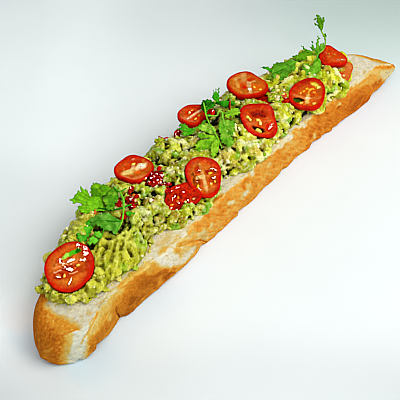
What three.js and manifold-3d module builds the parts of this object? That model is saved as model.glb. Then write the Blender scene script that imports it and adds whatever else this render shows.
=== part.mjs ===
// Avocado toast: a long slice of crusty loaf, lying on its flat underside, under a chunky layer of
// mashed avocado, with round slices of small tomato and sprigs of coriander leaf on top.
// Millimetres, +Z up. X runs along the slice, from the blunt near end to the tapered far end.
import * as THREE from 'three';
import { mergeVertices } from 'three/addons/utils/BufferGeometryUtils.js';
import Module from 'manifold-3d';

// ---------------------------------------------------------------- driving dimensions
const BREAD_X0 = -157;          // blunt end
const BREAD_X1 = 166;           // tapered end
const BREAD_HEIGHT = 25;        // underside to cut face
const BREAD_STATIONS = 40;      // sections along the slice
const RIM_RADIUS_LEFT = 7;      // rounded crust along the left upper edge
const RIM_RADIUS_RIGHT = 1.6;   // sharper cut edge along the right
const FOOT_RADIUS_RIGHT = 2.2;  // crust turning under
const FLARE_RIGHT = 1.9;        // how far the right wall leans out from the cut face to the foot
const FOOT_RADIUS_LEFT = 6.5;
const MASH_X0 = -138;           // the spread starts here
const MASH_X1 = 134;
const MASH_CROWN = 12.6;        // mean thickness of the spread
const MASH_LUMP = 1.5;          // height of its lumps
const MASH_STATIONS = 46;
const MASH_COLUMNS = 11;
const SLICE_THICKNESS = 4.2;    // a tomato slice
const SLICE_SEGMENTS = 18;
const LEAF_THICKNESS = 0.8;
const STEM_RADIUS = 0.6;
const GAP = 0.3;                // clearance kept between touching pieces
const ORIGIN_X = 4.5;           // middle of the whole, in the slice's own frame
const ORIGIN_Y = 2.433;

const wasm = await Module();
wasm.setup();

// ---------------------------------------------------------------- helpers
const clamp = (v, a, b) => Math.min(b, Math.max(a, v));
const smooth = (a, b, v) => { const t = clamp((v - a) / (b - a), 0, 1); return t * t * (3 - 2 * t); };

// value of a smooth curve through stations [x, value]
function along(stations, x) {
  const n = stations.length;
  if (x <= stations[0][0]) return stations[0][1];
  if (x >= stations[n - 1][0]) return stations[n - 1][1];
  let i = 0;
  while (stations[i + 1][0] < x) i++;
  const [x0, y0] = stations[i], [x1, y1] = stations[i + 1];
  const slope = (k) => {
    if (k <= 0 || k >= n - 1) return 0;
    return (stations[k + 1][1] - stations[k - 1][1]) / (stations[k + 1][0] - stations[k - 1][0]);
  };
  const h = x1 - x0, t = (x - x0) / h, m0 = slope(i) * h, m1 = slope(i + 1) * h;
  return (2 * t ** 3 - 3 * t * t + 1) * y0 + (t ** 3 - 2 * t * t + t) * m0
    + (3 * t * t - 2 * t ** 3) * y1 + (t ** 3 - t * t) * m1;
}

// gentle unevenness, a sum of waves that run in different directions
function waves(x, y, size, seed) {
  let s = 0;
  for (let k = 0; k < 6; k++) {
    const a = seed + 2.4 * k, f = (2 * Math.PI / size) * (0.7 + 0.13 * k);
    s += Math.sin(f * (x * Math.cos(a) + y * Math.sin(a)) + 1.7 * k * seed);
  }
  return s / 6;
}

function indexed(points, faces) {
  const g = new THREE.BufferGeometry();
  g.setAttribute('position', new THREE.BufferAttribute(new Float32Array(points.flat()), 3));
  g.setIndex(faces.flat());
  return g;
}

function volume(points, faces) {
  let v = 0;
  for (const [a, b, c] of faces) {
    const p = points[a], q = points[b], r = points[c];
    v += p[0] * (q[1] * r[2] - q[2] * r[1]) - p[1] * (q[0] * r[2] - q[2] * r[0]) + p[2] * (q[0] * r[1] - q[1] * r[0]);
  }
  return v / 6;
}

// closed body through rings of equal count, each end closed on a centre point
function ringBody(rings, startCentre, endCentre) {
  const n = rings[0].length, points = rings.flat(), faces = [];
  const s = points.push(startCentre) - 1, e = points.push(endCentre) - 1;
  for (let i = 0; i + 1 < rings.length; i++) {
    for (let j = 0; j < n; j++) {
      const k = (j + 1) % n, a = i * n + j, b = i * n + k, c = a + n, d = b + n;
      faces.push([a, b, d], [a, d, c]);
    }
  }
  const last = (rings.length - 1) * n;
  for (let j = 0; j < n; j++) {
    const k = (j + 1) % n;
    faces.push([s, k, j], [e, last + j, last + k]);
  }
  if (volume(points, faces) < 0) faces.forEach((f) => f.reverse());
  return indexed(points, faces);
}

function solid(geometry) {
  const g = geometry.clone();
  for (const name of ['normal', 'uv']) if (g.hasAttribute(name)) g.deleteAttribute(name);
  const m = mergeVertices(g, 1e-4);
  return new wasm.Manifold(new wasm.Mesh({
    numProp: 3,
    vertProperties: new Float32Array(m.attributes.position.array),
    triVerts: new Uint32Array(m.index.array),
  }));
}

// the largest single body of a cut solid, as a geometry
function body(manifold, tolerance) {
  const parts = manifold.decompose().sort((a, b) => b.volume() - a.volume());
  const mesh = parts[0].simplify(tolerance).getMesh();
  const g = new THREE.BufferGeometry();
  g.setAttribute('position', new THREE.BufferAttribute(new Float32Array(mesh.vertProperties), 3));
  g.setIndex(Array.from(mesh.triVerts));
  return g;
}

const toVec = (p) => new THREE.Vector3(...p);

// ---------------------------------------------------------------- bread
const LEFT_EDGE = [[-157, -10.5], [-154.5, -5.2], [-150, 0], [-143, 6], [-134, 10.5], [-112, 17.5], [-90, 24], [-62, 27.2],
  [-20, 27.5], [24, 26.5], [60, 22.5], [98, 17], [118, 12.6], [132, 6.4], [146, -3], [155, -12], [161, -18.2], [166, -22.6]];
const RIGHT_EDGE = [[-157, -13.5], [-155, -18.6], [-150, -22.2], [-143, -25.8], [-136, -28.2], [-124, -26.4], [-109, -22.6],
  [-84, -24.6], [-60, -25.8], [-37, -23.4], [-10, -22.8], [20, -22], [67, -20.6], [99, -22.6], [125, -24.3], [155, -25], [166, -26.5]];
const topAt = (x) => BREAD_HEIGHT - (x > 138 ? 12 * ((x - 138) / 28) ** 1.8 : 0)
  - (x < -141 ? BREAD_HEIGHT * (1 - (1 - clamp((-141 - x) / 16.6, 0, 1) ** 2.5) ** 0.4) : 0);
const bottomAt = (x) => (x > 148 ? 7 * ((x - 148) / 18) ** 1.5 : 0) + (x < -150 ? 4.6 * ((-150 - x) / 7) ** 2 : 0);

function breadSection(x) {
  const yl = along(LEFT_EDGE, x), yr = along(RIGHT_EDGE, x), t = topAt(x), b = bottomAt(x);
  const w = yl - yr, h = t - b, limit = 0.46 * Math.min(w, h);
  const ring = [];
  const corner = (cy, cz, radius, from, count) => {
    for (let i = 0; i < count; i++) {
      const a = from + (Math.PI / 2) * (i / (count - 1));
      ring.push([x, cy + radius * Math.cos(a), cz + radius * Math.sin(a)]);
    }
  };
  const rlt = Math.min(RIM_RADIUS_LEFT, limit), rrt = Math.min(RIM_RADIUS_RIGHT, limit);
  const rlb = Math.min(FOOT_RADIUS_LEFT, limit), rrb = Math.min(FOOT_RADIUS_RIGHT, limit);
  const sag = 0.7 * waves(x, 0, 46, 1.3);
  corner(yl - rlb, b + rlb, rlb, -Math.PI / 2, 4);                            // left foot
  ring.push([x, yl + sag * 0.6, b + 0.5 * h]);                               // left crust
  corner(yl - rlt, t - rlt, rlt, 0, 4);                                      // left rim
  for (const f of [0.3, 0.55, 0.8]) {                                        // cut face
    const y = yl - rlt + f * (yr + rrt - yl + rlt);
    ring.push([x, y, t]);
  }
  corner(yr + rrt, t - rrt, rrt, Math.PI / 2, 3);                            // right rim
  const flare = FLARE_RIGHT * smooth(4, 20, h) * smooth(BREAD_X0, BREAD_X0 + 18, x) * (1 - smooth(BREAD_X1 - 20, BREAD_X1, x));
  ring.push([x, yr - 0.55 * flare - 0.4 + sag, b + 0.64 * h], [x, yr - flare + sag * 0.5, b + 0.36 * h]); // right crust
  corner(yr - flare + rrb, b + rrb, rrb, Math.PI, 4);                        // right foot
  ring.push([x, yr + rrb + 0.35 * (w - rlb - rrb), b], [x, yr + rrb + 0.7 * (w - rlb - rrb), b]);
  return ring;
}

function makeBread() {
  const rings = [];
  for (let i = 0; i <= BREAD_STATIONS; i++) {
    const u = i / BREAD_STATIONS;
    const v = u - 0.115 * Math.sin(2 * Math.PI * u);                          // closer together at the ends
    rings.push(breadSection(BREAD_X0 + (BREAD_X1 - BREAD_X0) * v));
  }
  const mid = (ring) => ring.reduce((m, p) => [m[0] + p[0] / ring.length, m[1] + p[1] / ring.length, m[2] + p[2] / ring.length], [0, 0, 0]);
  const first = mid(rings[0]), last = mid(rings[rings.length - 1]);
  return ringBody(rings, [first[0] - 0.2, first[1], first[2]], [last[0] + 0.2, last[1], last[2]]);
}

// ---------------------------------------------------------------- mashed avocado
const MASH_LEFT = [[-138, 3], [-134, 9.5], [-124, 15.2], [-108, 19.2], [-92, 25], [-70, 29.5], [-30, 30.5], [20, 30], [50, 28],
  [75, 24.5], [98, 19.5], [118, 13.5], [128, 6], [134, -2]];
const MASH_RIGHT = [[-138, -3], [-134, -8], [-127, -14.5], [-116, -17], [-92, -20.6], [-80, -19.6], [-68, -12.2], [-54, -14.2],
  [-38, -20.2], [-24, -21], [-7, -14.4], [12, -17], [30, -19.4], [42, -15.8], [58, -18.4], [76, -19.2], [92, -20.2], [112, -20.8],
  [123, -15], [130, -10], [134, -6]];

const MASH_PEAKS = [[-19.5, 26.5, 5.5, 4.4], [-103, 15.5, 3, 7], [-57, 25, 2.2, 7], [40, 20, 2.4, 6], [95, 11, 2, 8]]; // x, y, height, width

function mashHeight(x) {
  return MASH_CROWN * (0.78 + 0.22 * smooth(-138, -100, x)) * (1 - 0.5 * smooth(104, 132, x)) * (1 + 0.07 * Math.sin(x / 17));
}

function makeMash() {
  const base = BREAD_HEIGHT + GAP, rings = [];
  for (let i = 0; i <= MASH_STATIONS; i++) {
    const x = MASH_X0 + (MASH_X1 - MASH_X0) * (i / MASH_STATIONS);
    const yl = along(MASH_LEFT, x), yr = along(MASH_RIGHT, x), ring = [];
    const end = Math.min(1, 0.25 + Math.min(x - MASH_X0, MASH_X1 - x) / 9);
    for (let j = 0; j <= MASH_COLUMNS; j++) {
      const v = j / MASH_COLUMNS, c = 2 * v - 1;
      const spread = Math.sign(c) * Math.abs(c) ** 0.86;
      const rise = (1 - Math.abs(spread) ** 3.4) ** 0.62;
      const y = (yl + yr) / 2 + spread * (yl - yr) / 2;
      const lumps = MASH_LUMP * (waves(x, y, 17, 0.9) * 2.1 + waves(x, y, 9, 2.3) * 1.2);
      const peak = MASH_PEAKS.reduce((h, [px, py, up, w]) => h + up * Math.exp(-((x - px) ** 2 + (y - py) ** 2) / (w * w)), 0);
      const z = base + 1.2 + Math.max(0.6, (mashHeight(x) + lumps) * rise + peak) * end;
      const push = 0.8 * waves(x + 31, y * 0.3, 12, 1.9) * (1 - rise);
      ring.push([x, y + Math.sign(c) * push, j === 0 || j === MASH_COLUMNS ? base + 1.4 : z]);
    }
    ring.push([x, yl - 1.6, base], [x, yr + 1.6, base]);
    rings.push(ring);
  }
  const a = rings[0], b = rings[rings.length - 1];
  const centre = (ring, out) => [ring[0][0] + out, (ring[0][1] + ring[MASH_COLUMNS][1]) / 2, base + 1.5];
  return ringBody(rings, centre(a, -1.2), centre(b, 1.2));
}

// ---------------------------------------------------------------- tomato slices
// at: centre; tilt: lean towards the viewer side in degrees; turn: heading of the lean;
// r: mean radius; shape: strength of the 2-, 3- and 4-fold parts of the outline; t: thickness
const VIEW_SIDE = 40.54;        // heading of the long side's normal that the slices lean along, degrees from +X
const SLICES = [
  { name: 'tomato_slice_1', at: [-119.5, 0.2, 37.2], tilt: 27, r: 13.6, shape: [-0.018, 0.059, -0.011, 0.007, 0.01, -0.014] },
  { name: 'tomato_slice_2', at: [-44.5, 22.6, 40.2], tilt: 8, r: 11, shape: [0.039, 0.021, -0.008, -0.012, 0.028, 0.036] },
  { name: 'tomato_slice_3', at: [-21.5, -11.3, 38.4], tilt: 30, r: 11.5, shape: [-0.081, -0.068, -0.026, 0.047, -0.014, 0.012] },
  { name: 'tomato_slice_4', at: [13.2, 26.3, 41], tilt: 5, r: 9.4, shape: [0.058, 0.136, 0.014, 0.102, 0.035, 0.054] },
  { name: 'tomato_slice_5', at: [54.9, 18.1, 42.2], tilt: 8, r: 11.9, shape: [0.073, -0.053, 0.036, -0.043, 0.03, -0.04] },
  { name: 'tomato_slice_6', at: [36, -7.1, 40.2], tilt: 28, r: 11.5, shape: [-0.009, -0.1, -0.052, 0.013, -0.063, -0.029] },
  { name: 'tomato_slice_7', at: [77.6, -13.8, 37.4], tilt: 24, r: 11.5, shape: [0.024, 0.063, -0.058, -0.006, -0.011, 0.009] },
  { name: 'tomato_slice_8', at: [116.1, -4.6, 38.6], tilt: 20, r: 8, shape: [0.078, -0.17, 0.124, -0.115, 0.039, -0.017] },
  { name: 'tomato_slice_9', at: [118.9, -13, 30.6], tilt: 14, r: 7.3, shape: [-0.102, 0.032, -0.012, 0.095, -0.024, 0.012], t: 2.6 },
  { name: 'tomato_slice_10', at: [-38.1, -8.8, 33.2], tilt: 16, r: 9.3, shape: [0.152, 0.2, 0.1, -0.035, -0.024, -0.06], t: 3.4 },
  { name: 'tomato_slice_11', at: [61.2, 2.7, 35.6], tilt: 6, r: 9.8, shape: [0.25, -0.011, -0.033, 0.051, 0.059, -0.042], t: 3.4 },
];
const CHUNKS = [
  { name: 'tomato_chunk_1', at: [-41.5, 7.6, 38.6], size: [6.4, 4.2, 3], turn: 0.5 },
  { name: 'tomato_chunk_2', at: [-55.6, -3.8, 37.6], size: [4.4, 3, 2.6], turn: 1.9 },
  { name: 'tomato_chunk_3', at: [-3.4, 25.4, 37.6], size: [3.6, 2.4, 2.4], turn: 0.2 },
  { name: 'tomato_chunk_4', at: [-64.8, 4.8, 38.6], size: [5.6, 3, 2.6], turn: 1.5 },
];

function sliceAxes({ tilt }) {
  const t = THREE.MathUtils.degToRad(tilt), a = THREE.MathUtils.degToRad(VIEW_SIDE);
  const n = new THREE.Vector3(-Math.sin(t) * Math.cos(a), -Math.sin(t) * Math.sin(a), Math.cos(t));
  const u = new THREE.Vector3(Math.sin(a), -Math.cos(a), 0);
  return new THREE.Matrix4().makeBasis(u, new THREE.Vector3().crossVectors(n, u), n);
}

// lift: extra height above the cut face, used for the hollow that a slice lies in
function makeSlice(spec, grow = 0, lift = 0) {
  const t = (spec.t ?? SLICE_THICKNESS) / 2 + grow, [c2, s2, c3, s3, c4, s4] = spec.shape;
  // profile from the middle of the under face, round the skin, to the middle of the cut face: [radius share, height share]
  const profile = [[0.86, -1], [0.985, -0.45], [1, 0.25], [0.93, 1], [0.5, 0.9]];
  const rings = profile.map(([rr, zz]) => Array.from({ length: SLICE_SEGMENTS }, (_, i) => {
    const p = (2 * Math.PI * i) / SLICE_SEGMENTS;
    const r = spec.r * (1 + c2 * Math.cos(2 * p) + s2 * Math.sin(2 * p) + c3 * Math.cos(3 * p) + s3 * Math.sin(3 * p)
      + c4 * Math.cos(4 * p) + s4 * Math.sin(4 * p)) + grow;
    const seedPockets = grow || Math.abs(rr - 0.5) > 0.01 ? 0 : 0.12 * t * Math.cos(3 * p + spec.at[0]);
    return [r * rr * Math.cos(p), r * rr * Math.sin(p), t * zz - Math.abs(seedPockets) * Math.sign(zz) + (zz > 0.5 ? lift : 0)];
  }));
  const g = ringBody(rings, [0, 0, -0.95 * t], [0, 0, 0.94 * t + lift]);
  g.applyMatrix4(sliceAxes(spec));
  g.translate(...spec.at);
  return g;
}

function makeChunk(spec, grow = 0) {
  const g = new THREE.IcosahedronGeometry(1, 1), p = g.attributes.position, v = new THREE.Vector3();
  for (let i = 0; i < p.count; i++) {
    v.fromBufferAttribute(p, i);
    const k = 1 + 0.13 * Math.sin(3.1 * v.x + 2 * v.y + spec.turn) + 0.1 * Math.cos(4.3 * v.y - 2.7 * v.z);
    p.setXYZ(i, v.x * (k * spec.size[0] + grow), v.y * (k * spec.size[1] + grow), v.z * (k * spec.size[2] + grow));
  }
  g.rotateZ(spec.turn);
  g.translate(...spec.at);
  return g;
}

// ---------------------------------------------------------------- coriander
// leaf: from its foot to its tip; face: 0 lies flat, 1 stands up to be seen from the side; spread: half angle of the fan;
// lobes: how many; to: the point of the stem that it grows from
const SPRIGS = [
  { name: 'coriander_sprig_near',
    stems: [[[-65.9, 13.5, 44], [-69.1, 7.7, 44.2], [-73, 3.8, 43.5], [-80.3, -1.7, 42.5], [-87.4, -3.1, 38.5]],
      [[-62.9, 2.5, 40], [-68.6, 3.3, 42.5], [-73, 3.8, 43.5]],
      [[-65.6, 19.2, 44], [-65.9, 13.5, 44], [-60.5, 13.9, 42.4]]],
    leaves: [
      { foot: [-80, 10.1, 43], tip: [-86.2, 34.2, 39.5], face: 0.35, spread: 42, lobes: 5, to: [-73, 3.8, 43.5] },
      { foot: [-75.3, 16.1, 44.4], tip: [-70.5, 31.3, 43], face: 0.5, spread: 42, lobes: 3, to: [-65.9, 13.5, 44] },
      { foot: [-65.9, 13.8, 44], tip: [-80, 11.7, 45.4], face: 0.3, spread: 36, lobes: 3, to: [-65.9, 13.5, 44] },
      { foot: [-73.4, 2.6, 43.4], tip: [-67, -5.2, 42], face: 0.3, spread: 18, lobes: 3, to: [-73, 3.8, 43.5] },
      { foot: [-82.4, -2.2, 43], tip: [-89.9, 13.8, 42.6], face: 0.5, spread: 34, lobes: 3, to: [-80.3, -1.7, 42.5] },
      { foot: [-88, 11.3, 42.2], tip: [-104.5, 7.3, 39], face: 0.5, spread: 30, lobes: 3, to: [-86, 5, 42.6] },
    ] },
  { name: 'coriander_sprig_middle',
    stems: [[[20.3, 24.5, 47], [16.4, 20, 46.5], [13.5, 16.7, 45.6], [9.6, 11, 45.2], [6.1, 4.2, 45], [3.8, -0.9, 44.2], [2.8, -5, 39.5]],
      [[13.5, 16.7, 45.6], [17.4, 11.2, 46.4], [18.5, 11.4, 48], [20.4, 11, 48], [20.9, 9.8, 46.5], [18.6, 7.8, 45.8]]],
    leaves: [
      { foot: [25.7, 19.3, 45.5], tip: [33.7, 24.5, 52], face: 0.8, spread: 28, lobes: 5, to: [18, 21.5, 46.8] },
      { foot: [14.2, 17.3, 45.6], tip: [24.3, 25.5, 47], face: 0.6, spread: 36, lobes: 3, to: [13.5, 16.7, 45.6] },
      { foot: [26.2, 21, 45.2], tip: [36.1, 9.8, 44], face: 0.3, spread: 16, lobes: 5, to: [18, 21.5, 46.8] },
      { foot: [21.1, 8.7, 45.2], tip: [32.9, 5.2, 44.4], face: 0.2, spread: 32, lobes: 5, to: [20.4, 10.4, 47.2] },
      { foot: [1.1, 14.1, 43.6], tip: [-1.8, 26.1, 42.4], face: 0.3, spread: 34, lobes: 3, to: [9.6, 11, 45.2] },
      { foot: [7.2, 4.3, 45.2], tip: [6.4, 17.1, 44.6], face: 0.5, spread: 32, lobes: 3, to: [6.1, 4.2, 45] },
      { foot: [2.9, 0.7, 44.5], tip: [-11.1, 5.2, 42], face: 0.3, spread: 36, lobes: 5, to: [3.8, -0.9, 44.2] },
      { foot: [20.1, 9.5, 46], tip: [4.8, -9.4, 42.6], face: 0.4, spread: 26, lobes: 5, to: [18.6, 7.8, 45.8] },
      { foot: [3, -1.2, 44], tip: [-9.7, -8.4, 43], face: 0.4, spread: 22, lobes: 1, to: [3.8, -0.9, 44.2] },
    ] },
  { name: 'coriander_sprig_far',
    stems: [[[113.9, 3.8, 58], [114.7, 2.4, 55], [115.7, 1.1, 51], [114.8, 0.4, 47], [113.3, 0.6, 44.5], [109.4, 1.7, 43], [107.8, 5.5, 40]],
      [[109, 6.9, 52], [108.6, 6, 47], [109.4, 1.7, 43]],
      [[102.6, 10.7, 49], [104.8, 7.6, 46], [109.4, 1.7, 43]]],
    leaves: [
      { foot: [113.9, 3.8, 58], tip: [117.8, 9.8, 66], face: 1, spread: 30, lobes: 5, to: [113.9, 3.8, 58] },
      { foot: [116.1, 2, 50], tip: [117.7, 3.3, 54.5], face: 1, spread: 24, lobes: 3, to: [115.7, 1.1, 51] },
      { foot: [111.5, 2.4, 43.2], tip: [114, 5.7, 53], face: 1, spread: 16, lobes: 3, to: [111.5, 1.2, 43.7] },
      { foot: [107.4, 1.8, 43], tip: [102.1, 10.9, 43], face: 0.6, spread: 26, lobes: 3, to: [109.4, 1.7, 43] },
      { foot: [107.5, -0.9, 43], tip: [89.2, -2.1, 40.4], face: 0.3, spread: 30, lobes: 3, to: [109.4, 1.7, 43] },
    ] },
  { name: 'coriander_leaf_far',
    stems: [[[95, 7.8, 42.6], [86, 9.6, 42], [77.1, 12.6, 41.6]]],
    leaves: [
      { foot: [93, 7.4, 43], tip: [73.4, 13.4, 40.6], face: 0.4, spread: 32, lobes: 5, to: [95, 7.8, 42.6] },
      { foot: [77.1, 13.1, 41.8], tip: [75.2, 23.1, 42], face: 0.4, spread: 26, lobes: 3, to: [77.1, 12.6, 41.6] },
    ] },
];
const TO_VIEW = new THREE.Vector3(-0.518, -0.443, 0.731);

function makeLeaf({ foot, tip, face, spread, lobes }, grow = 0) {
  const f = toVec(foot), along3 = toVec(tip).sub(f), length = along3.length() + grow;
  const a = along3.clone().normalize();
  const n = new THREE.Vector3(0, 0, 1).multiplyScalar(1 - face).addScaledVector(TO_VIEW, face);
  n.addScaledVector(a, -n.dot(a)).normalize();
  const b = new THREE.Vector3().crossVectors(n, a);
  const half = LEAF_THICKNESS / 2 + grow, steps = lobes === 5 ? 10 : lobes === 3 ? 12 : 8, S = THREE.MathUtils.degToRad(spread);
  const outline = [[-0.02 * length - grow, 0]];
  for (let i = 0; i <= steps; i++) {
    const u = -1 + (2 * i) / steps;
    const lobe = 0.5 + 0.5 * Math.cos(Math.PI * lobes * u);
    const r = length * (1 - 0.3 * u * u) * (lobes === 1 ? 0.35 + 0.65 * Math.cos(u * Math.PI / 2) ** 0.7 : 0.72 + 0.28 * lobe ** 0.6);
    outline.push([r * Math.cos(S * u), r * Math.sin(S * u)]);
  }
  const points = [], place = (p, q, s) => {
    const d = Math.hypot(p, q) / length;
    return f.clone().addScaledVector(a, p).addScaledVector(b, q).addScaledVector(n, s * half - 0.06 * length * (d - 0.4) ** 2).toArray();
  };
  for (const s of [-1, 1]) {
    points.push(place(0.42 * length, 0, s));
    for (const [p, q] of outline) points.push(place(p, q, s));
  }
  const m = outline.length, faces = [];
  for (let i = 0; i < m; i++) {
    const j = (i + 1) % m, lo = [1 + i, 1 + j], hi = [m + 2 + i, m + 2 + j];
    faces.push([0, lo[1], lo[0]], [m + 1, hi[0], hi[1]], [lo[0], lo[1], hi[1]], [lo[0], hi[1], hi[0]]);
  }
  if (volume(points, faces) < 0) faces.forEach((t) => t.reverse());
  return indexed(points, faces);
}

function makeStem(points, radius) {
  const curve = points.length > 2 ? new THREE.CatmullRomCurve3(points.map(toVec)) : new THREE.LineCurve3(...points.map(toVec));
  const section = new THREE.Shape();
  for (let i = 0; i < 4; i++) {
    const a = (Math.PI * i) / 2, p = [radius * Math.cos(a), radius * Math.sin(a)];
    if (i) section.lineTo(...p); else section.moveTo(...p);
  }
  section.closePath();
  return new THREE.ExtrudeGeometry(section, { steps: points.length > 2 ? points.length : 1, bevelEnabled: false, extrudePath: curve });
}

function sprigSolid(spec, grow = 0) {
  let s = null;
  const join = (g) => { const m = solid(g); s = s ? s.add(m) : m; };
  for (const stem of spec.stems) join(makeStem(stem, STEM_RADIUS + grow));
  for (const leaf of spec.leaves) {
    join(makeLeaf(leaf, grow));
    const f = toVec(leaf.foot), t = toVec(leaf.to), into = f.clone().lerp(toVec(leaf.tip), 0.16);
    if (f.distanceTo(t) > 0.5) join(makeStem([leaf.to, into.toArray()], 0.85 * STEM_RADIUS + grow));
  }
  return s;
}

// ---------------------------------------------------------------- fitting the pieces round each other
const slices = SLICES.map((spec) => ({ name: spec.name, own: solid(makeSlice(spec)), room: solid(makeSlice(spec, GAP)),
  hollow: solid(makeSlice(spec, GAP, 7)) }));
const chunks = CHUNKS.map((spec) => ({ name: spec.name, own: solid(makeChunk(spec)), room: solid(makeChunk(spec, GAP)) }));
const sprigs = SPRIGS.map((spec) => ({ name: spec.name, own: sprigSolid(spec), room: sprigSolid(spec, GAP) }));
const toppings = [...slices, ...chunks, ...sprigs];
toppings.forEach((piece, i) => {
  for (let k = 0; k < i; k++) piece.own = piece.own.subtract(toppings[k].room);
});
let mash = solid(makeMash());
for (const piece of toppings) mash = mash.subtract(piece.hollow ?? piece.room);

// ---------------------------------------------------------------- scene graph
const finish = {
  crust: new THREE.MeshStandardMaterial({ color: 0xd98a35, roughness: 0.72, metalness: 0 }),
  avocado: new THREE.MeshStandardMaterial({ color: 0xb3b845, roughness: 0.5, metalness: 0 }),
  tomato: new THREE.MeshStandardMaterial({ color: 0xcf2a12, roughness: 0.22, metalness: 0 }),
  leaf: new THREE.MeshStandardMaterial({ color: 0x4f9a22, roughness: 0.45, metalness: 0 }),
};
const toast = new THREE.Group();
const layers = new THREE.Group();
layers.position.set(-ORIGIN_X, -ORIGIN_Y, 0);
toast.add(layers);

function place(name, geometry, material) {
  const mesh = new THREE.Mesh(geometry, material);
  mesh.name = name;
  layers.add(mesh);
}
place('bread', makeBread(), finish.crust);
place('avocado_mash', body(mash, 0.3), finish.avocado);
for (const piece of [...slices, ...chunks]) place(piece.name, body(piece.own, 0.02), finish.tomato);
for (const piece of sprigs) place(piece.name, body(piece.own, 0.16), finish.leaf);

export default toast;
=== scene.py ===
"""Avocado toast: what the toast looks like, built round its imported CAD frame.

All shapes are worked out in millimetres in the slice's own frame and turned into metres of the row frame by metres().
"""
import math

import bpy
import numpy as np
from mathutils import Matrix, Vector
from mathutils.bvhtree import BVHTree
from mathutils.geometry import delaunay_2d_cdt
from mathutils.kdtree import KDTree


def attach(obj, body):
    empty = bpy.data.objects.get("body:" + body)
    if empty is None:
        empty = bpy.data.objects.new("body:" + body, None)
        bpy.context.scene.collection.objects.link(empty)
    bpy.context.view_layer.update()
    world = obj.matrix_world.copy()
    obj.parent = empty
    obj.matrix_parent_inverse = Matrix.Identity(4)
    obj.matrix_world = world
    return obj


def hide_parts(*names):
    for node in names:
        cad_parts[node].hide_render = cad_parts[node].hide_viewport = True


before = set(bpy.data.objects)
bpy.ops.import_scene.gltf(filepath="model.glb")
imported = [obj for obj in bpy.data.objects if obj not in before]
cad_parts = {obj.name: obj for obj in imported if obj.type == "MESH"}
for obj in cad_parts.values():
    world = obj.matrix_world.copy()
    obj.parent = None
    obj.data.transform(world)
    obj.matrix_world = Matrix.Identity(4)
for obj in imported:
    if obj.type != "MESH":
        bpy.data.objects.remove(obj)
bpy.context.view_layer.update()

ORIGIN = np.array([4.5, 2.433, 0.0])
TO_VIEW = np.array([-0.518, -0.443, 0.731])
EYE = np.array([-0.3335, -0.273433, 0.450])
STRIP_AT = (-0.13, -0.11, 1.10)


def metres(points):
    return (np.asarray(points, float) - ORIGIN) * 0.001


def clamp01(v):
    return np.clip(v, 0.0, 1.0)


def smooth(a, b, v):
    t = clamp01((np.asarray(v, float) - a) / (b - a))
    return t * t * (3 - 2 * t)


def mix(a, b, t):
    t = np.asarray(t, float)
    if np.ndim(a) == 1 and t.ndim == 1:
        a = np.asarray(a, float)[None, :]
    if t.ndim == 1 and np.ndim(a) == 2:
        t = t[:, None]
    return a * (1 - t) + np.asarray(b, float) * t


def srgb(*c):
    c = np.array(c if len(c) == 3 else c[0], float) / 255
    return np.where(c <= 0.04045, c / 12.92, ((c + 0.055) / 1.055) ** 2.4)


def along(stations, x):
    st = np.asarray(stations, float)
    x = np.clip(np.asarray(x, float), st[0, 0], st[-1, 0])
    n = len(st)
    i = np.clip(np.searchsorted(st[:, 0], x, side="right") - 1, 0, n - 2)
    sl = np.zeros(n)
    sl[1:-1] = (st[2:, 1] - st[:-2, 1]) / (st[2:, 0] - st[:-2, 0])
    x0, y0, x1, y1 = st[i, 0], st[i, 1], st[i + 1, 0], st[i + 1, 1]
    h = x1 - x0
    t, m0, m1 = (x - x0) / h, sl[i] * h, sl[i + 1] * h
    return (2 * t**3 - 3 * t * t + 1) * y0 + (t**3 - 2 * t * t + t) * m0 + (3 * t * t - 2 * t**3) * y1 + (t**3 - t * t) * m1


def waves(x, y, size, seed):
    s = 0
    for k in range(6):
        a, f = seed + 2.4 * k, (2 * math.pi / size) * (0.7 + 0.13 * k)
        s = s + np.sin(f * (x * math.cos(a) + y * math.sin(a)) + 1.7 * k * seed)
    return s / 6


# ---------------------------------------------------------------- seeded noise
def _hash(ix, iy, iz, seed):
    u = lambda v: v.astype(np.int64).astype(np.uint32)
    h = u(ix) * np.uint32(0x8DA6B343) ^ u(iy) * np.uint32(0xD8163841) ^ u(iz) * np.uint32(0xCB1AB31F) ^ np.uint32((seed * 0x9E3779B1) & 0xFFFFFFFF)
    h ^= h >> np.uint32(15)
    h = h * np.uint32(0x2C1B3C6D)
    h ^= h >> np.uint32(12)
    h = h * np.uint32(0x297A2D39)
    h ^= h >> np.uint32(15)
    return h


def noise(p, size, seed=0):
    """Gradient noise, about -1 to 1."""
    q = np.asarray(p, float) / np.asarray(size, float)
    c = np.floor(q)
    f = q - c
    w = f * f * f * (f * (f * 6 - 15) + 10)
    total = np.zeros(len(q))
    for dx in (0, 1):
        for dy in (0, 1):
            for dz in (0, 1):
                h = _hash(c[:, 0] + dx, c[:, 1] + dy, c[:, 2] + dz, seed)
                gx = (h & np.uint32(1023)) / 511.5 - 1
                gy = ((h >> np.uint32(10)) & np.uint32(1023)) / 511.5 - 1
                gz = ((h >> np.uint32(20)) & np.uint32(1023)) / 511.5 - 1
                d = gx * (f[:, 0] - dx) + gy * (f[:, 1] - dy) + gz * (f[:, 2] - dz)
                total += d * np.where(dx, w[:, 0], 1 - w[:, 0]) * np.where(dy, w[:, 1], 1 - w[:, 1]) * np.where(dz, w[:, 2], 1 - w[:, 2])
    return total * 1.7


def fbm(p, size, octaves=3, seed=0, gain=0.5):
    p, total, amp, norm = np.asarray(p, float), 0, 1.0, 0.0
    for k in range(octaves):
        total = total + amp * noise(p, np.asarray(size, float) / 2**k, seed + 17 * k)
        norm += amp
        amp *= gain
    return total / norm


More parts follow.
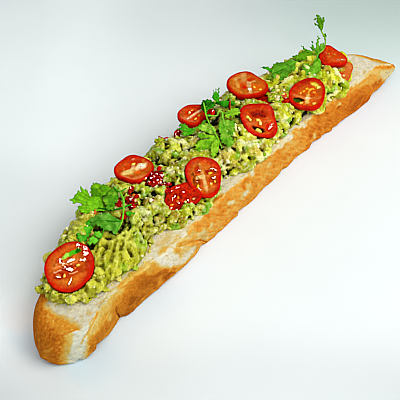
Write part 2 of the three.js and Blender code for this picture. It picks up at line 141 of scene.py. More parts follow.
def cells(p, size, seed=0):
    """Distance to the nearest and the next point of a jittered grid, in cell sizes, and a random number of the nearest cell."""
    q = np.asarray(p, float) / np.asarray(size, float)
    c = np.floor(q)
    f1, f2, rid = np.full(len(q), 9.0), np.full(len(q), 9.0), np.zeros(len(q))
    for dx in (-1, 0, 1):
        for dy in (-1, 0, 1):
            for dz in (-1, 0, 1):
                h = _hash(c[:, 0] + dx, c[:, 1] + dy, c[:, 2] + dz, seed)
                ox = (h & np.uint32(1023)) / 1023.0
                oy = ((h >> np.uint32(10)) & np.uint32(1023)) / 1023.0
                oz = ((h >> np.uint32(20)) & np.uint32(1023)) / 1023.0
                d = np.sqrt((c[:, 0] + dx + ox - q[:, 0]) ** 2 + (c[:, 1] + dy + oy - q[:, 1]) ** 2 + (c[:, 2] + dz + oz - q[:, 2]) ** 2)
                near = d < f1
                f2 = np.where(near, f1, np.minimum(f2, d))
                rid = np.where(near, (h % np.uint32(997)) / 997.0, rid)
                f1 = np.where(near, d, f1)
    return f1, f2, rid


# ---------------------------------------------------------------- meshes
def mesh(name, points, faces, material, tint=None, extra=(), smooth_shade=True, is_metres=False, others=()):
    """points in millimetres of the slice's frame; faces: arrays of triangles and/or quads; tint: linear RGB for each point."""
    v = np.asarray(points, float) if is_metres else metres(points)
    faces = [np.asarray(f, np.int64) for f in (faces if isinstance(faces, list) else [faces])]
    me = bpy.data.meshes.new(name)
    me.vertices.add(len(v))
    me.vertices.foreach_set("co", v.astype(np.float32).ravel())
    loops = np.concatenate([f.ravel() for f in faces])
    counts = np.concatenate([np.full(len(f), f.shape[1]) for f in faces])
    me.loops.add(len(loops))
    me.loops.foreach_set("vertex_index", loops.astype(np.int32))
    me.polygons.add(len(counts))
    me.polygons.foreach_set("loop_start", np.concatenate([[0], np.cumsum(counts)[:-1]]).astype(np.int32))
    me.update(calc_edges=True)
    me.validate()
    me.polygons.foreach_set("use_smooth", np.full(len(me.polygons), smooth_shade))
    if tint is not None:
        rgba = np.ones((len(v), 4), np.float32)
        rgba[:, :3] = tint
        me.color_attributes.new("tint", "FLOAT_COLOR", "POINT").data.foreach_set("color", rgba.ravel())
    for key, value in dict(extra).items():
        me.attributes.new(key, "FLOAT", "POINT").data.foreach_set("value", np.asarray(value, np.float32))
    me.materials.append(material)
    index = np.zeros(len(counts), np.int32)
    for k, (other, share) in enumerate(others):
        me.materials.append(other)
        index[np.concatenate([np.asarray(share)[f].mean(1) for f in faces]) > 0.5] = k + 1
    if len(others) and len(index) == len(me.polygons):
        me.polygons.foreach_set("material_index", index)
    o = bpy.data.objects.new(name, me)
    bpy.context.scene.collection.objects.link(o)
    return o


def place(o, slot, *nodes):
    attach(o, "root")
    if nodes:
        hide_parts(*nodes)
    return o


class Pile:
    """Collects small meshes into one."""

    def __init__(self):
        self.v, self.f, self.c, self.n = [], [], [], 0

    def add(self, v, f, c):
        self.v.append(v)
        self.f.append(np.asarray(f) + self.n)
        self.c.append(np.broadcast_to(c, (len(v), 3)))
        self.n += len(v)

    def arrays(self):
        return np.concatenate(self.v), np.concatenate(self.f), np.concatenate(self.c)


def icosphere(level):
    t = (1 + 5**0.5) / 2
    v = [(-1, t, 0), (1, t, 0), (-1, -t, 0), (1, -t, 0), (0, -1, t), (0, 1, t), (0, -1, -t), (0, 1, -t), (t, 0, -1), (t, 0, 1), (-t, 0, -1), (-t, 0, 1)]
    f = [(0, 11, 5), (0, 5, 1), (0, 1, 7), (0, 7, 10), (0, 10, 11), (1, 5, 9), (5, 11, 4), (11, 10, 2), (10, 7, 6), (7, 1, 8),
         (3, 9, 4), (3, 4, 2), (3, 2, 6), (3, 6, 8), (3, 8, 9), (4, 9, 5), (2, 4, 11), (6, 2, 10), (8, 6, 7), (9, 8, 1)]
    v = [np.array(p) / np.linalg.norm(p) for p in v]
    for _ in range(level):
        known, out = {}, []

        def middle(a, b):
            key = (min(a, b), max(a, b))
            if key not in known:
                m = v[a] + v[b]
                v.append(m / np.linalg.norm(m))
                known[key] = len(v) - 1
            return known[key]

        for a, b, c in f:
            ab, bc, ca = middle(a, b), middle(b, c), middle(c, a)
            out += [(a, ab, ca), (b, bc, ab), (c, ca, bc), (ab, bc, ca)]
        f = out
    return np.array(v), np.array(f)


def turns(rng, n, tilt=math.pi):
    """n rotation matrices: any heading, and a lean of up to tilt."""
    a, b, c = rng.uniform(0, 2 * math.pi, n), rng.uniform(-tilt, tilt, n), rng.uniform(-tilt, tilt, n)
    ca, sa, cb, sb, cc, sc = np.cos(a), np.sin(a), np.cos(b), np.sin(b), np.cos(c), np.sin(c)
    z, o = np.zeros(n), np.ones(n)
    rz = np.stack([ca, -sa, z, sa, ca, z, z, z, o], -1).reshape(n, 3, 3)
    ry = np.stack([cb, z, sb, z, o, z, -sb, z, cb], -1).reshape(n, 3, 3)
    rx = np.stack([o, z, z, z, cc, -sc, z, sc, cc], -1).reshape(n, 3, 3)
    return rz @ ry @ rx


def normals_of(v, tris):
    n = np.zeros_like(v)
    fn = np.cross(v[tris[:, 1]] - v[tris[:, 0]], v[tris[:, 2]] - v[tris[:, 0]])
    for k in range(3):
        for a in range(3):
            n[:, a] += np.bincount(tris[:, k], fn[:, a], len(v))
    return n / np.maximum(np.linalg.norm(n, axis=1, keepdims=True), 1e-12)


def smoothed(v, edges, times):
    """Positions after averaging with their neighbours."""
    i, j = np.concatenate([edges[:, 0], edges[:, 1]]), np.concatenate([edges[:, 1], edges[:, 0]])
    deg = np.maximum(np.bincount(i, minlength=len(v)), 1)[:, None]
    for _ in range(times):
        v = 0.5 * v + 0.5 * np.stack([np.bincount(i, v[j, a], len(v)) for a in range(v.shape[1])], -1) / deg
    return v


# ---------------------------------------------------------------- materials
def material(name, roughness=0.5, coat=0.0, coat_roughness=0.1, specular=0.5, subsurface=0.0, radius=(0.002, 0.001, 0.0005),
             speck=(), bump=()):
    """speck: (size in mm, strength) pairs that lighten and darken the tint; bump: (size in mm, height in mm) pairs."""
    m = bpy.data.materials.new(name)
    m.use_nodes = True
    nt = m.node_tree
    b = nt.nodes["Principled BSDF"]
    b.inputs["Roughness"].default_value = roughness
    b.inputs["Specular IOR Level"].default_value = specular
    b.inputs["Coat Weight"].default_value = coat
    b.inputs["Coat Roughness"].default_value = coat_roughness
    if subsurface:
        b.inputs["Subsurface Weight"].default_value = subsurface
        b.inputs["Subsurface Radius"].default_value = radius
        b.inputs["Subsurface Scale"].default_value = 1.0
    coord = nt.nodes.new("ShaderNodeTexCoord")
    src = nt.nodes.new("ShaderNodeAttribute")
    src.attribute_name = "tint"
    colour = src.outputs["Color"]
    for size, strength in speck:
        n = nt.nodes.new("ShaderNodeTexNoise")
        n.inputs["Scale"].default_value = 1000.0 / size
        n.inputs["Detail"].default_value = 2.5
        nt.links.new(coord.outputs["Object"], n.inputs["Vector"])
        r = nt.nodes.new("ShaderNodeMapRange")
        r.inputs["From Min"].default_value, r.inputs["From Max"].default_value = 0.3, 0.7
        r.inputs["To Min"].default_value, r.inputs["To Max"].default_value = 1 - strength, 1 + strength
        nt.links.new(n.outputs["Fac"], r.inputs["Value"])
        s = nt.nodes.new("ShaderNodeVectorMath")
        s.operation = "SCALE"
        nt.links.new(colour, s.inputs[0])
        nt.links.new(r.outputs[0], s.inputs["Scale"])
        colour = s.outputs[0]
    nt.links.new(colour, b.inputs["Base Color"])
    last = None
    for size, height in bump:
        n = nt.nodes.new("ShaderNodeTexNoise")
        n.inputs["Scale"].default_value = 1000.0 / size
        n.inputs["Detail"].default_value = 2.0
        nt.links.new(coord.outputs["Object"], n.inputs["Vector"])
        u = nt.nodes.new("ShaderNodeBump")
        u.inputs["Strength"].default_value = 1.0
        u.inputs["Distance"].default_value = height * 0.001
        nt.links.new(n.outputs["Fac"], u.inputs["Height"])
        if last:
            nt.links.new(last, u.inputs["Normal"])
        last = u.outputs["Normal"]
    if last:
        nt.links.new(last, b.inputs["Normal"])
        if coat:
            nt.links.new(last, b.inputs["Coat Normal"])
    return m


BREAD_MAT = material("baked_bread", roughness=0.7, specular=0.06, speck=[(0.9, 0.07), (2.6, 0.055)], bump=[(0.9, 0.12)], subsurface=0.04)
MASH_MAT = material("moist_avocado", roughness=0.5, specular=0.05, coat=0.5, coat_roughness=0.1, speck=[(1.0, 0.18)], bump=[(0.9, 0.3)],
                    subsurface=0.03, radius=(0.001, 0.001, 0.0003))
TOMATO_MAT = material("tomato_flesh", roughness=0.6, specular=0.03, coat=0.06, coat_roughness=0.2, speck=[(1.4, 0.1)], bump=[(1.6, 0.12)],
                      subsurface=0.04, radius=(0.0015, 0.0004, 0.0002))
WET_MAT = material("tomato_gel", roughness=0.5, specular=0.03, coat=0.8, coat_roughness=0.04, speck=[(1.2, 0.14)],
                   subsurface=0.04, radius=(0.0015, 0.0004, 0.0002))
GEL_MAT = material("tomato_pulp", roughness=0.5, specular=0.03, coat=0.25, coat_roughness=0.06, speck=[(1.2, 0.14)],
                   subsurface=0.04, radius=(0.0015, 0.0004, 0.0002))
SKIN_MAT = material("tomato_skin", roughness=0.45, specular=0.04, coat=0.2, coat_roughness=0.1, speck=[(2.5, 0.06)])
SEED_MAT = material("tomato_seed", roughness=0.35, specular=0.15, coat=0.6, coat_roughness=0.05, speck=[(0.8, 0.08)])
HERB_MAT = material("coriander", roughness=0.55, specular=0.12, speck=[(1.0, 0.16)], bump=[(0.8, 0.12)], subsurface=0.03, radius=(0.0006, 0.001, 0.0002))

# ---------------------------------------------------------------- bread
BREAD_X0, BREAD_X1, BREAD_HEIGHT = -157.0, 166.0, 25.0
LEFT_EDGE = [(-157, -10.5), (-154.5, -5.2), (-150, 0), (-143, 6), (-134, 10.5), (-112, 17.5), (-90, 24), (-62, 27.2), (-20, 27.5),
             (24, 26.5), (60, 22.5), (98, 17), (118, 12.6), (132, 7.6), (146, 0.8), (155, -8.4), (161, -15.6), (166, -22.2)]
RIGHT_EDGE = [(-157, -13.5), (-155, -18.6), (-150, -22.2), (-143, -25.8), (-136, -28.2), (-124, -26.4), (-109, -22.6), (-84, -24.6),
              (-60, -25.8), (-37, -23.4), (-10, -22.8), (20, -22), (67, -20.6), (99, -22.6), (125, -24.3), (155, -25), (166, -26.5)]


def top_at(x):
    return (BREAD_HEIGHT - 12 * (np.clip(x - 138, 0, None) / 28) ** 1.8
            - np.where(x < -141, BREAD_HEIGHT * (1 - (1 - clamp01((-141 - x) / 16.6) ** 2.5) ** 0.4), 0))


def bottom_at(x):
    return 7 * (np.clip(x - 148, 0, None) / 18) ** 1.5 + 4.6 * (np.clip(-150 - x, 0, None) / 7) ** 2


def near_line(x, z, line):
    """Distance to a polyline, how far along it (0 to 1), and which side."""
    line = np.asarray(line, float)
    best, where, side = np.full(len(x), 1e9), np.zeros(len(x)), np.zeros(len(x))
    seg = np.linalg.norm(np.diff(line, axis=0), axis=1)
    total, start = seg.sum(), np.concatenate([[0], np.cumsum(seg)])
    for k in range(len(line) - 1):
        (ax, az), (bx, bz) = line[k], line[k + 1]
        dx, dz = bx - ax, bz - az
        t = clamp01(((x - ax) * dx + (z - az) * dz) / (dx * dx + dz * dz))
        d = np.hypot(x - ax - t * dx, z - az - t * dz)
        s = np.sign((x - ax) * dz - (z - az) * dx)
        m = d < best
        best, where, side = np.where(m, d, best), np.where(m, (start[k] + t * seg[k]) / total, where), np.where(m, s, side)
    return best, where, side


def blot(x, z, cx, cz, rx, rz, angle=0.0, soft=0.35):
    a = math.radians(angle)
    dx, dz = x - cx, z - cz
    d = np.hypot((dx * math.cos(a) + dz * math.sin(a)) / rx, (-dx * math.sin(a) + dz * math.cos(a)) / rz)
    return 1 - smooth(1 - soft, 1 + soft, d)


def bread_section(x):
    """Rings (n stations, m points, 3) of the smooth section, and the kind of each of the m points."""
    yl, yr, t, b = along(LEFT_EDGE, x), along(RIGHT_EDGE, x), top_at(x), bottom_at(x)
    w, h = yl - yr, t - b
    lim = 0.46 * np.minimum(w, h)
    flare = 1.9 * smooth(4, 20, h) * smooth(BREAD_X0, BREAD_X0 + 18, x) * (1 - smooth(BREAD_X1 - 20, BREAD_X1, x))
    foot_r = 0.3 + along(FOOT, x) / 1.0
    rlt, rrt, rlb, rrb = np.minimum(7.0, lim), np.minimum(1.6, lim), np.minimum(6.5, lim), np.minimum(foot_r, lim)
    sag = 0.7 * waves(x, 0 * x, 46, 1.3)
    pts, kind = [], []

    def corner(cy, cz, r, start, n, k):
        for a in start + (math.pi / 2) * (np.arange(n) + 0.5) / n:
            pts.append((cy + r * math.cos(a), cz + r * math.sin(a)))
            kind.append(k)

    def line(y0, z0, y1, z1, n, k, bow=0.0):
        for s in (np.arange(n) + 0.5) / n:
            pts.append((y0 + (y1 - y0) * s + bow * math.sin(math.pi * s), z0 + (z1 - z0) * s))
            kind.append(k)

    corner(yl - rlb, b + rlb, rlb, -math.pi / 2, 8, 1)
    line(yl, b + rlb, yl, t - rlt, 16, 1, sag * 0.6)
    corner(yl - rlt, t - rlt, rlt, 0, 14, 2)
    line(yl - rlt, t, yr + rrt, t, 58, 3)
    corner(yr + rrt, t - rrt, rrt, math.pi / 2, 5, 4)
    # right wall: through the same three points as the CAD section
    z_mid, z_low, y_mid, y_low = b + 0.64 * h, b + 0.36 * h, yr - 0.55 * flare - 0.4 + sag, yr - flare + sag * 0.5
    for s in (np.arange(40) + 0.5) / 40:
        z = (t - rrt) + (b + rrb - t + rrt) * s
        k1, k2 = clamp01((t - rrt - z) / np.maximum(t - rrt - z_mid, 0.01)), clamp01((z_mid - z) / np.maximum(z_mid - z_low, 0.01))
        k3 = clamp01((z_low - z) / np.maximum(z_low - b - rrb, 0.01))
        y = yr + (y_mid - yr) * k1 + (y_low - y_mid) * k2 + (yr - flare - y_low) * k3
        pts.append((y, z))
        kind.append(5)
    corner(yr - flare + rrb, b + rrb, rrb, math.pi, 10, 6)
    line(yr - flare + rrb, b, yl - rlb, b, 12, 7)
    y, z = np.stack([p[0] + 0 * x for p in pts], 1), np.stack([p[1] + 0 * x for p in pts], 1)
    return np.stack([np.broadcast_to(x[:, None], y.shape), y, z], -1), np.array(kind)


NOTCH = [(-110.6, 14.5), (-110.5, 11.0), (-110.2, 7.5), (-109.4, 4.2), (-108.4, 1.0)]
FLAP = [(-60.5, 21.5), (-55, 18.6), (-51, 16.6), (-47, 14.2), (-43, 11.4), (-39.8, 8), (-37, 4), (-34.5, 1)]
CRACK = [(-124.5, 25.2), (-127, 24.6), (-130.8, 23.8), (-134.2, 22.4), (-137.5, 20.6), (-140.0, 18.4), (-141.4, 15.8)]
# how high over the table the right wall's rounded foot begins, along the slice
FOOT = [(-157, 2.4), (-151, 2.2), (-146.5, 1.6), (-143.4, 4.2), (-141, 2.6), (-138, 4.4), (-135.2, 6.0), (-132.5, 8.0), (-129, 6.4), (-124, 3.9), (-118, 1.6), (-113, 0.9), (-110.5, 1.9),
        (-104, 0.9), (-98, 0.9), (-90, 2.2), (-78, 3.5), (-60, 3.0), (-46, 1.6), (-38, 2.8), (-33, 1.0), (-28, 0.7), (-22, 1.2), (-10, 1.5), (-4, 3.2), (1, 2.2), (8, 1.0),
        (15, 1.2), (18, 2.9), (23, 2.8), (30, 1.2), (36, 1.8), (41, 3.4), (47, 1.5), (53, 2.0), (56, 3.4), (62, 2.4), (68, 0.8), (75, 3.2), (80, 2.3), (84, 1.5), (86, 3.0),
        (94, 1.0), (98, 2.5), (110, 2.6), (120, 1.2), (133, 1.3), (138, 4.4), (144, 4.0), (149, 3.4), (156, 2.4), (166, 1.6)]
# how far the foot of the near wall swells out or draws in, along the slice
KNOBS = [(-137, 0), (-134, 0.9), (-131.5, -0.3), (-124, -0.4), (-121, 0.2), (-110, 0.3), (-107, 0.6), (-100, 0.2), (-97, -0.2), (-88, 0), (-84, 0), (-80, 0.6), (-76.5, -0.1), (-66, -0.1),
         (-64, -0.4), (-61, -0.1), (-50, -0.3), (-46, -0.1), (-41.5, -0.2), (-38, -1.4), (-34.5, 0), (-28, 0.7), (-24, 0), (-20, 0.7), (-17, 0.3), (-10, 0.4), (-6, 1.3), (-4.4, -0.5), (2, -0.3),
         (4, 0.1), (20, 0.25), (24, -0.1), (34, 0.1), (38, 0.5), (41, 0.1), (43, -0.6), (48, 0.1), (58, 0.3), (66, 0.3), (71, 1.0), (74.6, 0), (76, -0.4), (84, 0.2), (90, -0.4), (94, 0.6),
         (96, -0.2), (100, 0.5), (105, 0), (132, 0), (136, 0.8), (139, 0.1), (143, -1.0), (150, -0.5), (158, 0)]
# what the crust and the rim look like: place along the slice, place up the wall (over 25: in from the right edge on the cut face), half length,
# half height, heading in degrees, how deeply baked (0 crumb to 1 dark), how strongly
PAINT = [
    # nose
    (-152, 12, 4.5, 12, 0, 0.75, 0.7), (-150, 3, 8, 2.4, -4, 0.72, 0.5), (-153, 34, 8, 14, 0, 0.69, 0.8),
    # first stretch, up to the notch
    (-131, 22, 5, 5, 0, 0.10, 0.9), (-121, 22.5, 13, 3.4, 0, 0.33, 0.85), (-123, 18.6, 12, 2.4, -6, 0.47, 0.75), (-131, 8, 7, 5, -20, 0.74, 0.6), (-125, 11, 9, 4, -20, 0.70, 0.7), (-118.5, 13.2, 2.2, 2.8, 30, 0.32, 0.8),
    (-118, 17.5, 1.4, 0.8, 0, 0.3, 0.7), (-113.5, 9, 2, 4, 0, 0.68, 0.5), (-105.5, 22, 4, 2.6, -35, 0.30, 0.75), (-101, 19, 2.4, 1.8, -40, 0.36, 0.5), (-98.6, 24.4, 1.2, 0.8, 0, 0.85, 0.8), (-98.5, 16.5, 1, 0.6, 0, 0.36, 0.6),
    # the brown bulge
    (-95, 12, 15, 8.5, 0, 0.72, 0.85), (-99.5, 11, 3.2, 2.6, 0, 0.84, 0.8), (-90.5, 21, 6, 2.2, -15, 0.72, 0.7), (-87, 15.5, 7, 3.4, -20, 0.80, 0.7), (-94, 7, 3, 3, 0, 0.78, 0.6), (-84, 22.5, 2.6, 3.4, -50, 0.46, 0.8),
    (-76.5, 12.8, 5.5, 2.0, -14, 0.82, 0.7), (-82, 8, 3.2, 3.6, 0, 0.82, 0.6), (-71, 6.8, 5.5, 2.8, -8, 0.84, 0.8), (-79, 7, 2.6, 1.5, 0, 0.56, 0.7), (-64, 7, 5, 3, -10, 0.58, 0.8), (-77, 19, 4.5, 1.8, -48, 0.42, 0.8),
    (-104, 4, 3.5, 4, 30, 0.80, 0.7),
    # the pale tear and the flap of crust beside it
    (-72.5, 21.0, 7.0, 4.4, -42, 0.04, 1.0), (-67.0, 16.0, 6.6, 5.0, -50, 0.04, 1.0), (-70, 24.5, 9.5, 2.6, 0, 0.05, 1.0), (-64.0, 13, 3.8, 3.2, -30, 0.06, 0.95), (-72.8, 14.6, 2.6, 0.7, -48, 0.34, 0.5),
    (-64.5, 22.6, 4.2, 0.55, -48, 0.46, 0.8), (-61.2, 19, 2.8, 0.5, -62, 0.44, 0.8), (-56.5, 17, 4.5, 3.4, -35, 0.26, 0.85), (-54, 8.8, 9.0, 4.8, 0, 0.06, 1.0),  (-40.5, 13.6, 5.6, 2.6, -32, 0.10, 0.9), (-33.5, 5.8, 5.0, 3.2, -20, 0.26, 0.85),
    (-50, 3.8, 9, 1.6, -2, 0.36, 0.8), (-61, 4, 5, 1.3, 0, 0.56, 0.7), (-43.8, 8.2, 3.0, 4.4, 15, 0.47, 0.95), (-40.5, 4.0, 2.8, 2.4, 20, 0.44, 0.9), (-55, 23.4, 5, 1.6, -30, 0.28, 0.8),
    (-46, 18.5, 7, 1.5, -40, 0.24, 0.75), (-52.5, 20.8, 5, 0.9, -42, 0.22, 0.6), (-38.5, 13, 5.5, 2.6, -40, 0.24, 0.85), (-34.5, 9.6, 3.6, 2.2, -45, 0.3, 0.7), (-45, 16.2, 3.4, 0.45, -52, 0.52, 0.7),
    (-40, 22.4, 8, 2.2, -28, 0.55, 0.9), (-45.5, 21.4, 2.4, 0.7, -45, 0.34, 0.6), (-35, 20, 4, 1.6, -45, 0.52, 0.6), (-33, 15.5, 1.2, 3.2, 25, 0.60, 0.8), (-38.5, 17.5, 2, 0.8, -40, 0.3, 0.5), (-30.2, 13.2, 2.6, 1.3, -20, 0.10, 0.9),
    # middle
    (-26, 7, 7, 5, -35, 0.48, 0.8), (-28, 8, 3, 1.6, -45, 0.54, 0.5), (-17.5, 5.2, 5, 3, -30, 0.60, 0.7), (-22, 4, 3, 1.0, -45, 0.36, 0.5), (-19.5, 17, 6, 4.2, -20, 0.64, 0.75), (-13.8, 21, 1.6, 3, -10, 0.68, 0.7), (-25.5, 21.5, 4, 2, -35, 0.46, 0.7),
    (-11.2, 15.8, 3.6, 1.5, -38, 0.10, 0.9), (-7.8, 13.6, 2.2, 0.9, -45, 0.24, 0.7), (-8.5, 7.5, 4, 3, -40, 0.52, 0.6), (-5.5, 8.5, 4, 1.0, -52, 0.36, 0.6), (-5, 20.5, 5, 2.6, -30, 0.46, 0.8), (-14, 12, 5, 1.2, -40, 0.5, 0.5), (-2, 5.4, 3.5, 1.2, -45, 0.36, 0.6),
    (2.0, 20.8, 1.7, 2.9, -12, 0.74, 0.85), (8, 21.6, 4.5, 1.3, -12, 0.62, 0.8), (3.4, 13.6, 4.6, 2.2, -12, 0.10, 1.0), (6.6, 17, 2.6, 2.2, 0, 0.22, 0.8), (9.4, 16.4, 3.0, 0.8, -55, 0.16, 0.8), (0, 10.8, 4, 0.8, -50, 0.2, 0.6), (-0.5, 8, 2.4, 1.0, -45, 0.58, 0.6),
    (11.4, 23, 1.8, 2.8, -30, 0.08, 0.95), (7.5, 6.5, 5, 3.4, 30, 0.60, 0.8), (13, 12.2, 2.6, 1.8, 0, 0.68, 0.8), (16.5, 18.5, 2.4, 3.6, 20, 0.62, 0.7), (19.4, 23, 3.4, 1.8, -30, 0.30, 0.7), (22.5, 16.5, 2.4, 3.8, -10, 0.60, 0.6), (19.5, 12.6, 3.2, 0.8, -42, 0.22, 0.8),
    (26, 12.4, 3.2, 2.2, -40, 0.32, 0.8), (28.4, 17.6, 3.2, 1.6, -25, 0.26, 0.8), (26.6, 5.4, 4.5, 3.4, -30, 0.62, 0.7), (26, 21, 3, 2.6, -20, 0.44, 0.7), (30.4, 22.8, 3.4, 1.0, -42, 0.66, 0.8), (32.8, 15.6, 2.4, 1.8, -10, 0.68, 0.8), (34, 24.3, 4.5, 1.5, 0, 0.12, 0.9),
    (42, 24.2, 6, 1.7, 0, 0.10, 0.95), (37.5, 18.2, 5, 2.8, -30, 0.64, 0.7), (42, 13.6, 5, 2.6, -35, 0.66, 0.6), (50.6, 22.8, 4.4, 2.6, -22, 0.03, 1.0), (46.6, 18.4, 2.4, 3.2, -20, 0.42, 0.8), (52.5, 17.5, 4, 2.6, -40, 0.40, 0.8), (37, 8, 5, 3, -40, 0.50, 0.6),
    (50, 11.2, 2.4, 1.8, 0, 0.66, 0.7), (54.5, 12, 1.0, 4.5, -10, 0.40, 0.5), (59, 20.5, 4.2, 3.6, -30, 0.42, 0.8), (66.8, 23.2, 3.4, 2.0, -35, 0.08, 0.95), (72.6, 24.2, 4, 1.4, -10, 0.14, 0.9), (75, 20, 4, 3, -20, 0.44, 0.8), (65, 15.6, 4, 2.0, 0, 0.66, 0.6),
    (74, 12, 4, 4, 0, 0.70, 0.7), (70, 3, 5.5, 1.8, 0, 0.72, 0.7), (57, 5, 3.4, 2, -30, 0.66, 0.6), (77.6, 7.6, 1.7, 3.4, 12, 0.12, 0.95), (76.4, 3.6, 2.6, 1.4, 0, 0.42, 0.6), (81, 6.5, 2.2, 4, 0, 0.66, 0.6),
    # far stretch
    (95, 23, 14, 2.2, 0, 0.52, 0.75), (92, 13, 16, 8, 0, 0.65, 0.7), (102.6, 19.2, 1.7, 1.3, -20, 0.18, 0.9), (101.2, 17.0, 2.2, 0.8, -20, 0.92, 0.8), (86.5, 11, 1.4, 4, -20, 0.5, 0.4), (110, 10, 2, 6, 0, 0.6, 0.6), (120, 10, 14, 7.5, -8, 0.71, 0.8),
    (121, 7.2, 5.6, 3.8, 0, 0.79, 0.8), (132.4, 4.6, 4.6, 2.6, 0, 0.77, 0.8), (113, 21.8, 8, 1.6, -6, 0.52, 0.8), (124, 20.6, 10, 1.6, -10, 0.40, 0.85), (124, 24.4, 15, 1.2, -3, 0.12, 1.0), (138, 22.6, 8, 2.6, -22, 0.30, 0.85), (136, 18, 10, 2.2, -24, 0.38, 0.8),
    (144, 10, 6.6, 3.4, -32, 0.69, 0.9), (134, 12, 6, 3, -20, 0.60, 0.7), (148, 16.5, 9, 3.4, -36, 0.30, 0.9), (155.5, 11, 8, 4.2, -36, 0.16, 0.9), (161, 10, 6, 3.6, -20, 0.13, 0.9),
    # the cut face next to the rim
    (-144, 34, 4.2, 14, 0, 0.46, 0.6), (-128, 26, 5.0, 0.7, 0, 0.62, 0.55), (-128.6, 30.6, 2.2, 1.6, 20, 0.34, 0.6), (-119.5, 28.4, 3.5, 0.8, -12, 0.34, 0.6), (-112, 27, 5, 1.2, -10, 0.30, 0.6), (-95, 26.6, 13, 1.8, 0, 0.50, 0.8), (-104, 26.2, 3, 1.2, 0, 0.74, 0.5),
    (-84, 27.4, 4, 1.6, 0, 0.36, 0.6), (-70.5, 28, 3.2, 2.0, 0, 0.42, 0.9), (-72, 26.4, 3.4, 1.0, 0, 0.5, 0.5), (-65.5, 31.8, 6, 2.2, -8, 0.30, 0.6), (-62, 27.4, 5, 1.0, -4, 0.42, 0.7), (-58, 29, 3.5, 0.8, 0, 0.3, 0.6), (-49, 26, 4, 1.1, 10, 0.42, 0.7), (-74, 36, 5, 2.2, 30, 0.30, 0.5),
    (-60, 34, 7, 1.2, 10, 0.26, 0.5), (-24, 27.4, 7, 2.4, -4, 0.66, 0.8), (-18, 26.8, 4, 1.4, 0, 0.74, 0.6), (-34, 26, 3, 0.9, 0, 0.3, 0.6), (13, 29, 4, 1.4, -40, 0.40, 0.5), (28, 25.8, 4.5, 1.0, 0, 0.60, 0.6), (44, 28, 6, 1.6, 10, 0.42, 0.6), (58, 25.8, 3.4, 0.9, 0, 0.7, 0.6),
    (82, 26, 6, 1.6, 0, 0.5, 0.5), (97, 26.4, 9, 1.4, 0, 0.40, 0.6), (133, 28.4, 1.6, 0.9, 20, 0.36, 0.7),
]


